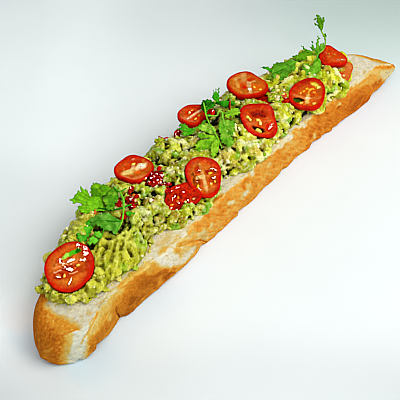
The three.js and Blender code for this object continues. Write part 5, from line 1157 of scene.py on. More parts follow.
    # smooth wet films, tipped to catch the light
    for f in face.get("glints", []):
        w = oval(wx, wy, (f[0], f[1], 1.2 * f[2], 1.25 * f[3], f[4]), 0.2) * (share < 0.9)
        if f[2] > 1.3 or f[3] > 0.6:
            w = w * smooth(-0.16, 0.04, noise(q3, 1.2, 87))
        da, db = a - f[0] / 10 * s["r"], b - f[1] / 10 * s["r"]
        ga, gb = film_slope(at + f[0] / 10 * s["r"] * u + f[1] / 10 * s["r"] * v, u, v, n)
        here = (np.hypot(x - f[0], y - f[1]) + 99 * (kinds == 2)).argmin()
        rel = rel * (1 - w) + w * (0.25 + ga * da + gb * db - warp3 + warp3[here])
        wet = np.maximum(wet, oval(wx, wy, (f[0], f[1], 1.2 * f[2] + 0.1, 1.25 * f[3] + 0.1, f[4]), 0.2))
    side_lit = 0.5 + 0.5 * np.sin(np.arctan2(b, a) + 0.2)
    width = face["skin"] * (0.75 + 0.5 * smooth(0.7, 0.1, side_lit))
    skin = smooth(0.955 - width - 0.10, 0.955 - width + 0.05, share + 0.03 * noise(q3, 4, 78))
    # painted shade and light: the skin is painted a darker orange-brown on the upper side of the rim and a brighter red
    # on its low side
    skin_col = mix(srgb(196, 26, 2), srgb(202, 38, 4), smooth(0.55, 0.1, side_lit))
    skin_col = mix(skin_col, srgb(174, 42, 6), 0.8 * smooth(0.55, 0.95, side_lit))
    skin_col = mix(skin_col, srgb(160, 14, 0), 0.5 * smooth(0.0, 0.7, noise(q3, 5.0, 91)))
    skin_col = mix(skin_col, srgb(222, 84, 30), 0.35 * smooth(0.2, 0.7, noise(q3, 3.1, 92)))
    skin_col = mix(skin_col, flesh, np.full(len(a), face.get("faded", 0.0)))
    col = mix(col, skin_col, 1.0) * skin[:, None] + col * (1 - skin[:, None])
    under = kinds == 2
    col[under] = flesh * 0.9
    # the low side of the rim shows more skin below the cut face
    rel = np.where(top, rel * fade, 0)
    bulge = np.where(kinds == 1, 0.12 * noise(q3 + [0, 0, 9], 5, 79), 0)
    pts = at + np.outer(a * (1 + bulge / s["r"]), u) + np.outer(b * (1 + bulge / s["r"]), v) + np.outer(h + rel, n)
    pts += np.outer(warp3, n)
    rows = len(prof)
    i, j = np.meshgrid(np.arange(rows - 1), np.arange(ns), indexing="ij")
    aa, bb = i * ns + j, i * ns + (j + 1) % ns
    quads = np.stack([aa, aa + ns, bb + ns, bb], -1).reshape(-1, 4)
    jj = np.arange(ns)
    c0, c1 = rows * ns, rows * ns + 1
    tris = np.concatenate([np.stack([np.full(ns, c0), jj, (jj + 1) % ns], -1), np.stack([np.full(ns, c1), (rows - 1) * ns + (jj + 1) % ns, (rows - 1) * ns + jj], -1)])
    o = mesh(f"tomato_round_{k:02d}", pts, [quads, tris], TOMATO_MAT, col, others=[(SKIN_MAT, 1.0 * (kinds == 1)), (WET_MAT, wet)])
    place(o, "tomato", f"tomato_slice_{k}")
    unit, uf = icosphere(2)
    for sx, sy, ang, size, c in face["seeds"]:
        ang = math.radians(ang)
        flat = 1 - 0.28 * unit[:, 0]  # one end narrower
        loc = np.stack([unit[:, 0] * 1.25 * size, unit[:, 1] * 0.78 * size * flat, unit[:, 2] * 0.5 * size], -1)
        ca, sa = math.cos(ang), math.sin(ang)
        la, lb = loc[:, 0] * ca - loc[:, 1] * sa, loc[:, 0] * sa + loc[:, 1] * ca
        ax, ay = sx / 10 * s["r"], sy / 10 * s["r"]
        d = np.hypot(x - sx, y - sy) + 99 * ~top
        base_h = (h + rel + warp3)[d.argmin()]
        seeds.add(at + np.outer(ax + la, u) + np.outer(ay + lb, v) + np.outer(base_h + 0.12 * size + loc[:, 2], n), uf, c)
    rng = np.random.default_rng(900 + k)
    for f in face.get("glints", []):
        ca, sa = math.cos(math.radians(f[4])), math.sin(math.radians(f[4]))
        many = 6 if f[3] > 0.6 else 1
        for _ in range(many):
            dx, dy, long, wide, head = 0.0, 0.0, f[2], 0.95 * f[3], f[4]
            if many > 1:
                dx, dy = rng.normal(0, 0.5, 2) * [f[2], f[3]]
                long, wide, head = rng.uniform(0.25, 0.55), rng.uniform(0.16, 0.3), rng.uniform(0, 180)
            px, py = f[0] + dx * ca - dy * sa, f[1] + dx * sa + dy * ca
            here = (np.hypot(x - px, y - py) + 99 * ~(top & (share < 0.9))).argmin()
            # painted highlight: these drops are also tinted paler than the flesh
            add_drop(drops, at + a[here] * u + b[here] * v + (h + rel + warp3)[here] * n, n, u, v,
                     long * s["r"] / 10, wide * s["r"] / 10, head, mix(flesh, srgb(236, 190, 150), 0.4))
    return o


# small heaps that lie over slices: middle, reach sideways, count, biggest lump
CLUMPS = [((63.3, 0.6, 38.2), (6.0, 5.0, 1.4), 70, 1.7), ((69.5, -2.5, 37.6), (3.4, 3.0, 1.0), 26, 1.4), ((-24.5, -19.5, 31.0), (3.6, 2.0, 1.0), 12, 1.3),
          ((-19.5, 25.5, 42.6), (1.8, 1.6, 2.0), 14, 1.5), ((-104, 17.5, 37.5), (4, 3, 1.5), 12, 1.6), ((114, -12.5, 32.8), (3, 2, 1), 8, 1.3)]


def make_clumps():
    rng = np.random.default_rng(29)
    unit, uf = icosphere(2)
    pile = Pile()
    kinds = [srgb(*c) for c in [(188, 188, 60), (206, 208, 90), (226, 224, 140), (166, 182, 44), (234, 232, 184), (146, 176, 40), (186, 168, 70)]]
    for at, reach, count, big in CLUMPS:
        for _ in range(count):
            off = rng.normal(0, 0.5, 3)
            c = np.array(at) + np.clip(off, -1, 1) * np.array(reach) * [1, 1, 0.6]
            r = rng.uniform(0.5, 1.0) * big
            cut = rng.normal(size=(9, 3))
            cut /= np.linalg.norm(cut, axis=1, keepdims=True)
            facing = np.maximum(cut @ unit.T, 0.12)
            rr = np.minimum((rng.uniform(0.62, 1.05, 9)[:, None] / facing).min(0), 1.15)
            p = (unit * rr[:, None] * np.array([r * rng.uniform(0.9, 1.4), r, r * rng.uniform(0.6, 0.95)])) @ turns(rng, 1, 0.7)[0].T + c
            p = p + 0.12 * r * unit * noise(p, 1.3, 62)[:, None]
            tone = kinds[int(rng.integers(0, len(kinds)))]
            pile.add(p, uf, mix(np.broadcast_to(tone, (len(p), 3)), tone * 0.6, 0.5 * smooth(0.0, 0.6, noise(p, 1.6, 68))))
    v, f, c = pile.arrays()
    place(mesh("avocado_clumps", v, f, MASH_MAT, c), "avocado")


# ---------------------------------------------------------------- wet tomato flesh
CHUNKS = {
    1: dict(at=(-41.5, 7.6, 38.6), size=(6.4, 4.2, 3.0), turn=0.5),
    2: dict(at=(-55.6, -3.8, 37.6), size=(4.4, 3.0, 2.6), turn=1.9),
    3: dict(at=(-3.4, 25.2, 37.0), size=(3.4, 2.2, 2.1), turn=0.2),
    4: dict(at=(-65.4, 5.2, 39.4), size=(6.0, 3.4, 2.7), turn=1.5),
}
# further bits of red: place, half sizes, heading (degrees), colour
BITS = [((-71.0, 11.0, 41.4), (4.4, 2.0, 1.3), 70, (176, 18, 4)), ((-75.5, 1.5, 40.8), (3.6, 1.8, 1.2), 20, (190, 34, 8)), ((-76.5, 21.0, 37.5), (3.0, 1.5, 1.2), 100, (190, 40, 10)),
        ((20.0, 16.8, 43.8), (2.8, 1.4, 0.7), 40, (214, 54, 16)), ((65.8, -3.3, 38.9), (2.6, 2.4, 1.1), 0, (200, 96, 56)),
        ((-13.5, 22.5, 39.5), (1.3, 1.0, 0.8), 10, (214, 110, 40)), ((-86.0, 25.5, 36.0), (2.4, 0.9, 0.7), 60, (180, 20, 4)),
        ((-58.0, 12.5, 40.2), (3.2, 1.4, 1.1), 20, (160, 10, 2)), ((-34.2, 12.3, 39.4), (1.9, 1.3, 1.0), 30, (190, 24, 12)),
        ((50.5, -8.5, 36.6), (2.6, 1.2, 1.0), 0, (206, 76, 44)), ((-84.0, 15.5, 41.0), (1.8, 1.0, 0.8), 30, (222, 120, 60)),
        ((-42.9, 0.4, 40.0), (2.4, 1.3, 1.0), -40, (146, 14, 6)), ((-40.4, -0.7, 39.6), (1.8, 1.2, 0.9), -40, (170, 22, 10)), ((-46.9, 5.0, 41.0), (2.2, 1.5, 1.0), 20, (160, 16, 6)),
        ((-47.6, 7.4, 40.8), (1.6, 1.2, 1.0), 60, (180, 30, 12))]
BEADS = [(-43.6, 9.4, 40.2, 5), (-43.5, 3.3, 39.2, 6), (-42.9, -0.8, 37.8, 4), (-46.5, 11.5, 39.6, 3), (-61.5, 8.5, 40.0, 3)]
# a strip of peel that stands against the left side, and a wedge of flesh beside the middle sprig
PEEL = [(-16.8, 28.2, 43.2), (-14.6, 28.5, 40.6), (-12.2, 28.6, 38.0), (-8.4, 28.2, 36.2)]


# drops of juice on the wet flesh: place, half length, half width, heading
DROPS = [((-42.4, 0.6, 41.1), 0.5, 0.3, 40), ((-43.8, 1.2, 41.0), 0.35, 0.25, 90), ((-40.2, -0.6, 40.6), 0.45, 0.28, 10), ((-46.6, 5.2, 42.1), 0.6, 0.3, 50),
         ((-47.8, 7.6, 41.9), 0.5, 0.25, 20), ((-44.5, 9.0, 41.4), 1.0, 0.4, 40), ((-40.5, 8.5, 41.7), 0.9, 0.45, 100), ((-38.4, 5.6, 41.0), 0.8, 0.35, 60), ((-43.2, 5.2, 41.2), 0.6, 0.4, 20),
         ((-43.4, 2.8, 41.0), 0.7, 0.4, 80), ((-43.0, -0.6, 39.3), 0.6, 0.35, 30), ((-46.3, 11.6, 40.9), 0.6, 0.4, 30), ((-56.2, -2.8, 40.3), 0.9, 0.35, 60),
         ((-64.5, 6.4, 42.0), 0.9, 0.4, 30), ((-66.6, 3.4, 41.9), 0.7, 0.35, 70), ((-71.2, 10.6, 42.8), 0.8, 0.35, 20), ((-58.0, 12.6, 41.4), 0.6, 0.35, 60),
         ((20.2, 17.0, 44.7), 0.7, 0.3, 50), ((-3.2, 24.8, 39.2), 0.7, 0.35, 40)]


def make_wet_pieces(seeds, drops):
    for at, long, wide, heading in DROPS:
        a = VIEW_SIDE
        add_drop(drops, np.array(at), np.array([0, 0, 1.0]), np.array([math.sin(a), -math.cos(a), 0]), np.array([math.cos(a), math.sin(a), 0]),
                 long, wide, heading, srgb(200, 60, 30))
    unit, uf = icosphere(4)
    for k, c in CHUNKS.items():
        sx, sy, sz = c["size"]
        w = 1 + 0.13 * np.sin(3.1 * unit[:, 0] + 2 * unit[:, 1] + c["turn"]) + 0.1 * np.cos(4.3 * unit[:, 1] - 2.7 * unit[:, 2])
        p = unit * np.array([sx, sy, sz]) * w[:, None]
        q = p + [0, 0, 20.0 * k]
        p = p * (1 + 0.20 * noise(q, 2.4, 90) + 0.12 * noise(q, 1.3, 91))[:, None]
        ca, sa = math.cos(c["turn"]), math.sin(c["turn"])
        p = np.stack([p[:, 0] * ca - p[:, 1] * sa, p[:, 0] * sa + p[:, 1] * ca, p[:, 2]], -1) + np.array(c["at"])
        col = mix(np.broadcast_to(srgb(150, 12, 4), (len(p), 3)), srgb(206, 52, 22), smooth(0.0, 0.6, noise(q, 2.2, 92)))
        col = mix(col, srgb(70, 6, 2), 0.8 * smooth(0.1, 0.7, noise(q, 1.9, 93)))
        place(mesh(f"tomato_flesh_{k}", p, uf, GEL_MAT, col), "tomato", f"tomato_chunk_{k}")
        facing = normals_of(p, uf)
        sparkle = np.random.default_rng(60 + k)
        for here in sparkle.choice(np.where(facing @ TO_VIEW > 0.72)[0], {1: 14, 2: 6, 3: 3, 4: 8}[k]):
            add_drop(drops, p[here], np.array([0, 0, 1.0]), np.array([math.sin(VIEW_SIDE), -math.cos(VIEW_SIDE), 0]), np.array([math.cos(VIEW_SIDE), math.sin(VIEW_SIDE), 0]),
                     sparkle.uniform(0.25, 0.6), sparkle.uniform(0.16, 0.28), sparkle.uniform(0, 180), srgb(190, 60, 34))
    pile = Pile()
    unit, uf = icosphere(3)
    for i, (at, size, head, c) in enumerate(BITS):
        q = unit * 2 + [0, 0, 13.0 * i]
        p = unit * np.array(size) * (1 + 0.22 * noise(q, 1.1, 95))[:, None]
        a = math.radians(head)
        p = np.stack([p[:, 0] * math.cos(a) - p[:, 1] * math.sin(a), p[:, 0] * math.sin(a) + p[:, 1] * math.cos(a), p[:, 2]], -1) + np.array(at)
        pile.add(p, uf, mix(np.broadcast_to(srgb(*c), (len(p), 3)), srgb(226, 120, 60), 0.4 * smooth(0.1, 0.6, noise(q, 0.9, 96))))
    # beads of gel round the first chunk
    rng = np.random.default_rng(41)
    ball, bf = icosphere(2)
    for bx, by, bz, count in BEADS:
        for _ in range(count):
            r = rng.uniform(0.8, 1.5)
            c = np.array([bx, by, bz]) + rng.normal(0, 1.0, 3) * [1.5, 1.5, 0.5]
            pile.add(ball * r * np.array([rng.uniform(1.0, 1.4), 1.0, 0.85]) + c, bf, srgb(*[(150, 12, 4), (176, 26, 6), (120, 8, 2)][int(rng.integers(0, 3))]))
        loc = ball * np.array([1.25, 0.8, 0.6]) * 0.9
        seeds.add(loc + np.array([bx, by, bz + 1.1]) + rng.normal(0, 0.8, 3) * [1, 1, 0.2], bf, srgb(222, 128, 30))
    pv, pf, pc = tube(PEEL, 0.55, 8, flat=0.45)
    pile.add(pv, pf, srgb(196, 26, 6))
    # a thin wedge of tomato standing behind the middle sprig
    wedge = np.array([(29.5, 12.0, 44.2), (26.6, 8.2, 44.2), (31.0, 11.6, 48.8), (30.4, 13.4, 44.0), (27.4, 9.6, 44.0), (31.8, 13.0, 48.6)])
    pile.add(wedge, [(0, 1, 2), (3, 5, 4), (0, 3, 4), (0, 4, 1), (1, 4, 5), (1, 5, 2), (2, 5, 3), (2, 3, 0)], srgb(226, 74, 40))
    v, f, c = pile.arrays()
    place(mesh("tomato_scraps", v, f, GEL_MAT, c), "tomato")
    for at, size, head, c in [((-57.0, -2.0, 40.6), 1.3, 30, srgb(240, 232, 190)), ((-63.5, 4.0, 41.4), 1.0, 40, srgb(236, 196, 140)), ((65.7, -3.4, 40.0), 1.0, 0, srgb(232, 220, 130))]:
        loc = icosphere(2)[0] * np.array([1.2, 0.8, 0.6]) * size
        a = math.radians(head)
        seeds.add(np.stack([loc[:, 0] * math.cos(a) - loc[:, 1] * math.sin(a), loc[:, 0] * math.sin(a) + loc[:, 1] * math.cos(a), loc[:, 2]], -1) + np.array(at), icosphere(2)[1], c)


# ---------------------------------------------------------------- coriander
def curve(points, step=0.7):
    p = np.asarray(points, float)
    if len(p) < 3:
        n = max(2, int(np.linalg.norm(p[1] - p[0]) / step))
        return p[0] + (p[1] - p[0]) * np.linspace(0, 1, n)[:, None]
    q = np.concatenate([[2 * p[0] - p[1]], p, [2 * p[-1] - p[-2]]])
    out = []
    for k in range(1, len(q) - 2):
        n = max(2, int(np.linalg.norm(q[k + 1] - q[k]) / step))
        for t in np.linspace(0, 1, n, endpoint=False):
            out.append(0.5 * (2 * q[k] + (q[k + 1] - q[k - 1]) * t + (2 * q[k - 1] - 5 * q[k] + 4 * q[k + 1] - q[k + 2]) * t**2
                              + (3 * q[k] - q[k - 1] - 3 * q[k + 1] + q[k + 2]) * t**3))
    out.append(q[-2])
    return np.array(out)


def tube(points, radius, sides=8, taper=0.0, flat=1.0):
    c = curve(points)
    n = len(c)
    d = np.gradient(c, axis=0)
    d /= np.linalg.norm(d, axis=1, keepdims=True)
    ref = np.array([0, 0, 1.0]) if abs(d[:, 2]).max() < 0.95 else np.array([0.6, 0.8, 0])
    a = np.cross(d, ref)
    a /= np.linalg.norm(a, axis=1, keepdims=True)
    b = np.cross(a, d)
    th = np.arange(sides) * 2 * math.pi / sides
    r = radius * (1 - taper * np.linspace(0, 1, n))
    v = (c[:, None] + r[:, None, None] * (a[:, None] * np.cos(th)[None, :, None] + flat * b[:, None] * np.sin(th)[None, :, None])).reshape(-1, 3)
    i, j = np.meshgrid(np.arange(n - 1), np.arange(sides), indexing="ij")
    p, q = i * sides + j, i * sides + (j + 1) % sides
    f = np.stack([p, q, q + sides, p + sides], -1).reshape(-1, 4)
    f = np.concatenate([f[:, [0, 1, 2]], f[:, [0, 2, 3]]])
    v = np.concatenate([v, [c[0], c[-1]]])
    jj = np.arange(sides)
    caps = np.concatenate([np.stack([np.full(sides, n * sides), (jj + 1) % sides, jj], -1), np.stack([np.full(sides, n * sides + 1), (n - 1) * sides + jj, (n - 1) * sides + (jj + 1) % sides], -1)])
    return v, np.concatenate([f, caps])[:, ::-1], None


# outline of each leaf in its own plane: millimetres along the leaf and across it
LEAVES = {
    '1A': ([-80.0, 10.1, 43.0], [-86.2, 34.2, 39.5], 0.35, [[2.5, -1.7], [4.5, -3.6], [6.6, -5.8], [8.4, -6.7], [10.5, -6.1], [12.8, -5.5], [14.3, -5.7], [16.6, -7.6], [17.7, -8.7], [19.4, -10.0], [19.4, -8.7], [20.9, -9.2], [22.8, -10.4], [23.3, -9.9], [22.5, -8.8], [21.1, -7.1], [21.4, -6.5], [22.7, -7.5], [23.2, -7.6], [23.5, -5.3], [24.0, -3.1], [24.0, -1.8], [25.0, -1.0], [25.3, -0.1], [23.9, 0.3], [22.7, 0.1], [22.4, 1.6], [21.1, 1.1], [19.2, 0.2], [17.2, 0.2], [16.2, 0.8], [17.1, 1.7], [18.7, 2.5], [17.6, 3.2], [18.1, 4.6], [16.2, 4.6], [15.0, 4.9], [14.5, 6.0], [13.2, 5.1], [11.8, 5.8], [10.3, 5.6], [8.4, 4.2], [5.8, 2.7], [3.2, 1.5], [1.4, 1.1], [0.7, -0.1]]),
    '1B': ([-75.3, 16.1, 44.4], [-70.5, 31.3, 43.0], 0.5, [[0.4, -2.2], [2.2, -1.9], [3.1, -1.0], [3.2, 0.2], [2.7, 1.2], [3.0, 2.1], [4.4, 3.6], [6.8, 5.0], [9.8, 4.4], [11.9, 3.9], [13.2, 2.6], [14.8, 2.0], [15.9, 0.4], [17.0, -0.9], [15.7, -1.9], [13.5, -2.7], [11.8, -3.2], [10.0, -4.9], [7.9, -6.4], [5.7, -6.9], [4.7, -5.7], [3.7, -4.1], [2.6, -3.1]]),
    '1C': ([-65.9, 13.8, 44.0], [-80.0, 11.7, 45.4], 0.3, [[1.9, 0.6], [4.4, 2.4], [6.7, 3.4], [8.9, 3.2], [10.3, 3.9], [11.7, 5.2], [13.7, 5.3], [15.1, 4.2], [16.0, 2.5], [13.6, 0.1], [12.5, -2.2], [11.0, -4.0], [8.6, -4.2], [6.8, -3.9], [4.5, -4.8], [2.2, -5.1], [-0.3, -4.8], [-1.4, -3.5], [-0.5, -1.4]]),
    '1I': ([-73.4, 2.6, 43.4], [-67.0, -5.2, 42.0], 0.3, [[0.3, -1.7], [1.9, -0.9], [4.1, -1.3], [7.0, -1.9], [8.4, -2.1], [6.6, -3.5], [3.8, -4.2], [1.6, -3.8]]),
    '1E': ([-82.4, -2.2, 43.0], [-89.9, 13.8, 42.6], 0.5, [[-0.3, 0.8], [0.2, 2.4], [-0.1, 4.2], [0.6, 5.8], [1.7, 7.3], [4.0, 6.2], [6.5, 5.8], [9.0, 5.1], [11.0, 4.3], [12.9, 3.8], [14.4, 4.7], [15.3, 4.6], [16.4, 3.0], [18.1, 1.2], [17.1, -0.3], [15.1, -1.6], [13.2, -3.0], [11.1, -3.9], [9.6, -4.8], [8.5, -5.0], [7.1, -4.6], [5.6, -3.5], [3.7, -2.9], [1.8, -2.4], [0.4, -1.5], [-0.4, -0.7]]),
    '1F': ([-88.0, 11.3, 42.2], [-104.5, 7.3, 39.0], 0.5, [[5.9, 1.7], [7.6, 1.8], [9.2, 2.0], [10.9, 2.3], [13.3, 2.4], [15.2, 2.6], [16.4, 2.4], [16.7, 0.6], [16.5, -1.0], [15.7, -2.8], [13.7, -4.2], [11.2, -5.4], [9.3, -4.6], [7.4, -3.7], [5.0, -3.2], [2.7, -2.9], [3.5, -1.2], [5.1, 0.6]]),
    '1G': ([-94.7, -0.1, 41.5], [-96.0, 5.9, 41.5], 0.5, [[-0.8, 0.7], [-0.3, 2.0], [1.7, 1.9], [3.3, 1.9], [4.4, 1.7], [5.1, 1.0], [4.7, -0.5], [3.0, -1.5], [1.3, -1.3], [-0.3, -0.3]]),
    '1H': ([-96.8, 0.3, 40.5], [-101.9, 3.7, 40.0], 0.5, [[-0.1, 0.8], [1.1, 1.6], [2.7, 2.4], [4.6, 2.0], [5.8, 2.3], [6.5, 1.9], [6.5, 0.7], [5.3, -0.8], [3.8, -2.2], [2.4, -2.1], [1.6, -1.0], [0.7, -0.1]]),
    '2A': ([25.7, 19.3, 45.5], [33.7, 24.5, 52.0], 0.8, [[1.1, -1.4], [1.6, -0.4], [2.7, 1.6], [3.6, 2.3], [3.9, 2.9], [4.5, 2.2], [5.6, 2.6], [6.2, 1.9], [7.2, 1.4], [8.4, 2.3], [8.8, 2.2], [8.2, 1.2], [9.6, 1.0], [9.2, 0.5], [8.0, -0.1], [8.7, -0.6], [10.9, -0.6], [10.3, -1.1], [7.8, -1.3], [4.6, -1.7], [2.5, -2.3]]),
    '2B': ([14.2, 17.3, 45.6], [24.3, 25.5, 47.0], 0.6, [[0.7, 0.1], [2.7, 1.3], [3.9, 2.4], [5.5, 3.0], [8.4, 3.2], [10.0, 3.0], [11.3, 2.1], [12.1, 2.7], [12.4, 1.2], [12.9, -1.0], [12.3, -2.8], [10.7, -4.4], [9.1, -5.7], [7.4, -5.4], [5.7, -3.6], [4.4, -1.8], [3.1, -0.9], [1.5, -0.8]]),
    '2C': ([26.2, 21.0, 45.2], [36.1, 9.8, 44.0], 0.3, [[1.0, -0.1], [1.3, 1.4], [3.5, 1.9], [5.7, 1.8], [8.8, 2.4], [11.3, 2.6], [12.8, 1.7], [14.1, 0.7], [13.1, -0.5], [10.6, -2.2], [7.5, -3.5], [5.3, -2.5], [3.4, -1.5], [1.6, -0.9]]),
    '2D': ([21.1, 8.7, 45.2], [32.9, 5.2, 44.4], 0.2, [[-0.1, -0.7], [2.3, 1.8], [4.9, 2.9], [7.7, 3.2], [10.7, 2.7], [11.8, 1.5], [11.9, 0.0], [10.9, -0.9], [11.0, -2.2], [9.3, -2.8], [8.6, -2.1], [7.5, -3.5], [7.3, -2.4], [6.4, -2.3], [5.6, -3.8], [5.0, -2.5], [4.0, -4.0], [3.8, -2.4], [3.9, -1.3], [2.8, -2.1], [1.5, -3.4], [0.8, -2.6], [0.2, -1.8]]),
    '2E': ([1.1, 14.1, 43.6], [-1.8, 26.1, 42.4], 0.3, [[0.5, -0.4], [0.7, 1.3], [1.1, 2.6], [3.1, 4.1], [4.5, 5.5], [6.4, 5.7], [7.9, 4.8], [8.2, 2.9], [10.2, 2.3], [11.9, 2.3], [11.5, 0.6], [11.9, -0.4], [12.3, -1.7], [11.6, -2.6], [9.4, -3.0], [7.6, -2.2], [6.0, -1.1], [4.5, -0.9], [2.5, -1.0]]),
    '2F': ([7.2, 4.3, 45.2], [6.4, 17.1, 44.6], 0.5, [[-0.5, -0.4], [-0.5, 1.2], [-0.5, 2.8], [1.4, 3.4], [4.2, 3.1], [6.5, 3.5], [8.7, 4.2], [10.2, 3.7], [11.7, 3.7], [11.4, 1.9], [11.1, 0.2], [8.7, -0.6], [6.6, -1.9], [4.6, -2.3], [2.3, -1.8]]),
    '2G': ([2.9, 0.7, 44.5], [-11.1, 5.2, 42.0], 0.3, [[-1.7, 2.1], [-0.1, 3.1], [3.3, 2.9], [5.6, 4.3], [7.6, 5.1], [9.7, 5.7], [12.3, 4.8], [13.5, 2.3], [13.4, -0.6], [12.3, -2.9], [10.2, -4.0], [8.8, -4.5], [6.6, -2.9], [4.3, -1.5], [3.8, -2.3], [7.0, -4.6], [7.3, -5.8], [7.0, -9.0], [5.1, -8.6], [3.2, -6.0], [1.1, -3.7], [-0.7, -2.1], [-1.6, -0.2]]),
    '2H': ([3.0, -1.2, 44.0], [-9.7, -8.4, 43.0], 0.4, [[-0.5, -0.1], [1.5, 1.1], [4.6, 1.9], [7.3, 2.2], [9.9, 1.8], [12.4, 1.4], [14.2, 0.5], [13.4, -1.2], [11.9, -2.0], [9.6, -2.2], [8.6, -3.1], [6.1, -2.8], [3.1, -2.2], [0.7, -1.1]]),
    '2I': ([20.1, 9.5, 46.0], [4.8, -9.4, 42.6], 0.4, [[-2.0, 0.7], [-1.3, 1.5], [2.6, 0.7], [4.8, 1.5], [6.0, 3.8], [6.0, 5.6], [8.2, 6.4], [10.0, 5.7], [12.3, 5.3], [14.6, 5.1], [16.6, 3.5], [17.9, 2.3], [20.4, 3.0], [22.0, 3.3], [23.6, 1.7], [25.6, 0.1], [24.1, -1.7], [21.9, -2.8], [20.9, -4.1], [18.8, -4.6], [16.5, -4.5], [14.3, -3.7], [11.9, -4.2], [9.9, -4.4], [7.3, -3.6], [4.7, -2.5], [1.3, -1.5]]),
    '2J': ([16.0, 15.9, 44.8], [12.0, 18.5, 44.6], 0.3, [[1.7, -1.1], [0.1, -1.0], [-1.5, 0.2], [-1.0, 1.6], [1.0, 1.9], [2.2, 0.7]]),
    '3A': ([113.9, 3.8, 58.0], [117.8, 9.8, 66.0], 1, [[-0.4, 0.0], [1.8, 1.0], [3.6, 2.0], [4.4, 2.8], [4.3, 4.1], [5.8, 3.3], [5.6, 2.3], [4.8, 1.5], [6.5, 1.8], [7.6, 2.5], [8.1, 3.6], [9.1, 3.1], [8.5, 2.1], [8.6, 1.4], [9.9, 1.8], [10.7, 0.9], [10.8, -0.0], [9.9, -0.5], [9.9, -1.5], [8.7, -1.1], [8.1, -1.8], [9.0, -3.0], [7.8, -3.1], [7.2, -3.8], [5.9, -2.9], [4.1, -2.1], [2.3, -1.6], [0.5, -0.8]]),
    '3B': ([116.1, 2.0, 50.0], [117.7, 3.3, 54.5], 1, [[-0.4, -0.2], [1.9, 0.5], [2.9, 1.0], [3.9, 1.2], [4.2, -0.1], [4.3, -1.2], [2.9, -0.8], [0.9, -0.8]]),
    '3C': ([111.5, 2.4, 43.2], [114.0, 5.7, 53.0], 1, [[-1.2, 0.0], [-0.1, 1.7], [1.8, 2.9], [2.7, 1.9], [4.7, 1.9], [6.7, 1.4], [8.6, 0.7], [10.3, 0.6], [10.7, -0.0], [8.8, -0.8], [7.9, -0.3], [6.6, 0.1], [4.1, -0.5], [5.4, -1.5], [5.6, -2.8], [5.5, -3.8], [3.5, -4.1], [1.5, -3.3], [-0.4, -1.6]]),
    '3D': ([110.5, 3.4, 43.2], [112.0, 6.5, 50.0], 1, [[1.0, 2.4], [2.6, 3.6], [4.1, 4.0], [4.2, 3.0], [5.8, 2.4], [7.7, 2.2], [7.9, 1.5], [5.6, 1.8], [3.5, 1.4], [2.0, 0.6]]),
    '3E': ([107.0, 6.5, 44.2], [105.0, 11.0, 47.0], 1, [[1.6, 0.1], [3.1, 1.5], [5.4, 1.0], [7.3, -0.1], [5.7, 0.0], [3.5, 0.2]]),
    '3F': ([107.4, 1.8, 43.0], [102.1, 10.9, 43.0], 0.6, [[2.5, 1.2], [5.5, 3.7], [8.6, 4.5], [11.9, 4.9], [15.2, 4.2], [15.2, 2.4], [13.9, 1.7], [12.0, 1.3], [10.9, -0.3], [9.5, -1.9], [7.3, -2.9], [5.0, -3.0], [3.3, -2.4], [2.0, -0.3]]),
    '3I': ([107.5, -0.9, 43.0], [89.2, -2.1, 40.4], 0.3, [[0.1, -1.5], [1.0, 0.2], [3.0, 3.1], [5.9, 4.8], [8.3, 6.5], [11.1, 6.3], [13.7, 5.7], [16.1, 4.6], [18.0, 2.7], [18.7, 0.5], [17.9, -1.2], [15.7, -1.8], [14.8, -4.0], [11.9, -4.3], [10.0, -3.2], [10.6, -1.3], [9.4, 0.3], [5.4, -0.0], [2.1, -0.6]]),
    '3G': ([93.0, 7.4, 43.0], [73.4, 13.4, 40.6], 0.4, [[-0.4, -0.6], [2.0, 1.2], [2.6, 3.6], [4.5, 4.7], [7.1, 4.9], [9.7, 4.7], [10.8, 6.3], [13.2, 6.2], [15.9, 6.8], [17.1, 5.1], [19.3, 3.8], [19.8, 1.7], [18.3, -0.6], [18.0, -3.2], [16.6, -4.1], [14.9, -5.4], [13.4, -6.7], [11.4, -6.9], [8.9, -5.4], [6.4, -3.4], [3.8, -3.6], [1.7, -3.3], [-0.3, -2.1]]),
    '3H': ([77.1, 13.1, 41.8], [75.2, 23.1, 42.0], 0.4, [[1.3, -0.4], [2.6, 0.6], [5.7, 0.2], [8.1, 0.5], [9.8, -0.1], [7.8, -1.1], [5.4, -2.1], [2.6, -1.6]]),
}
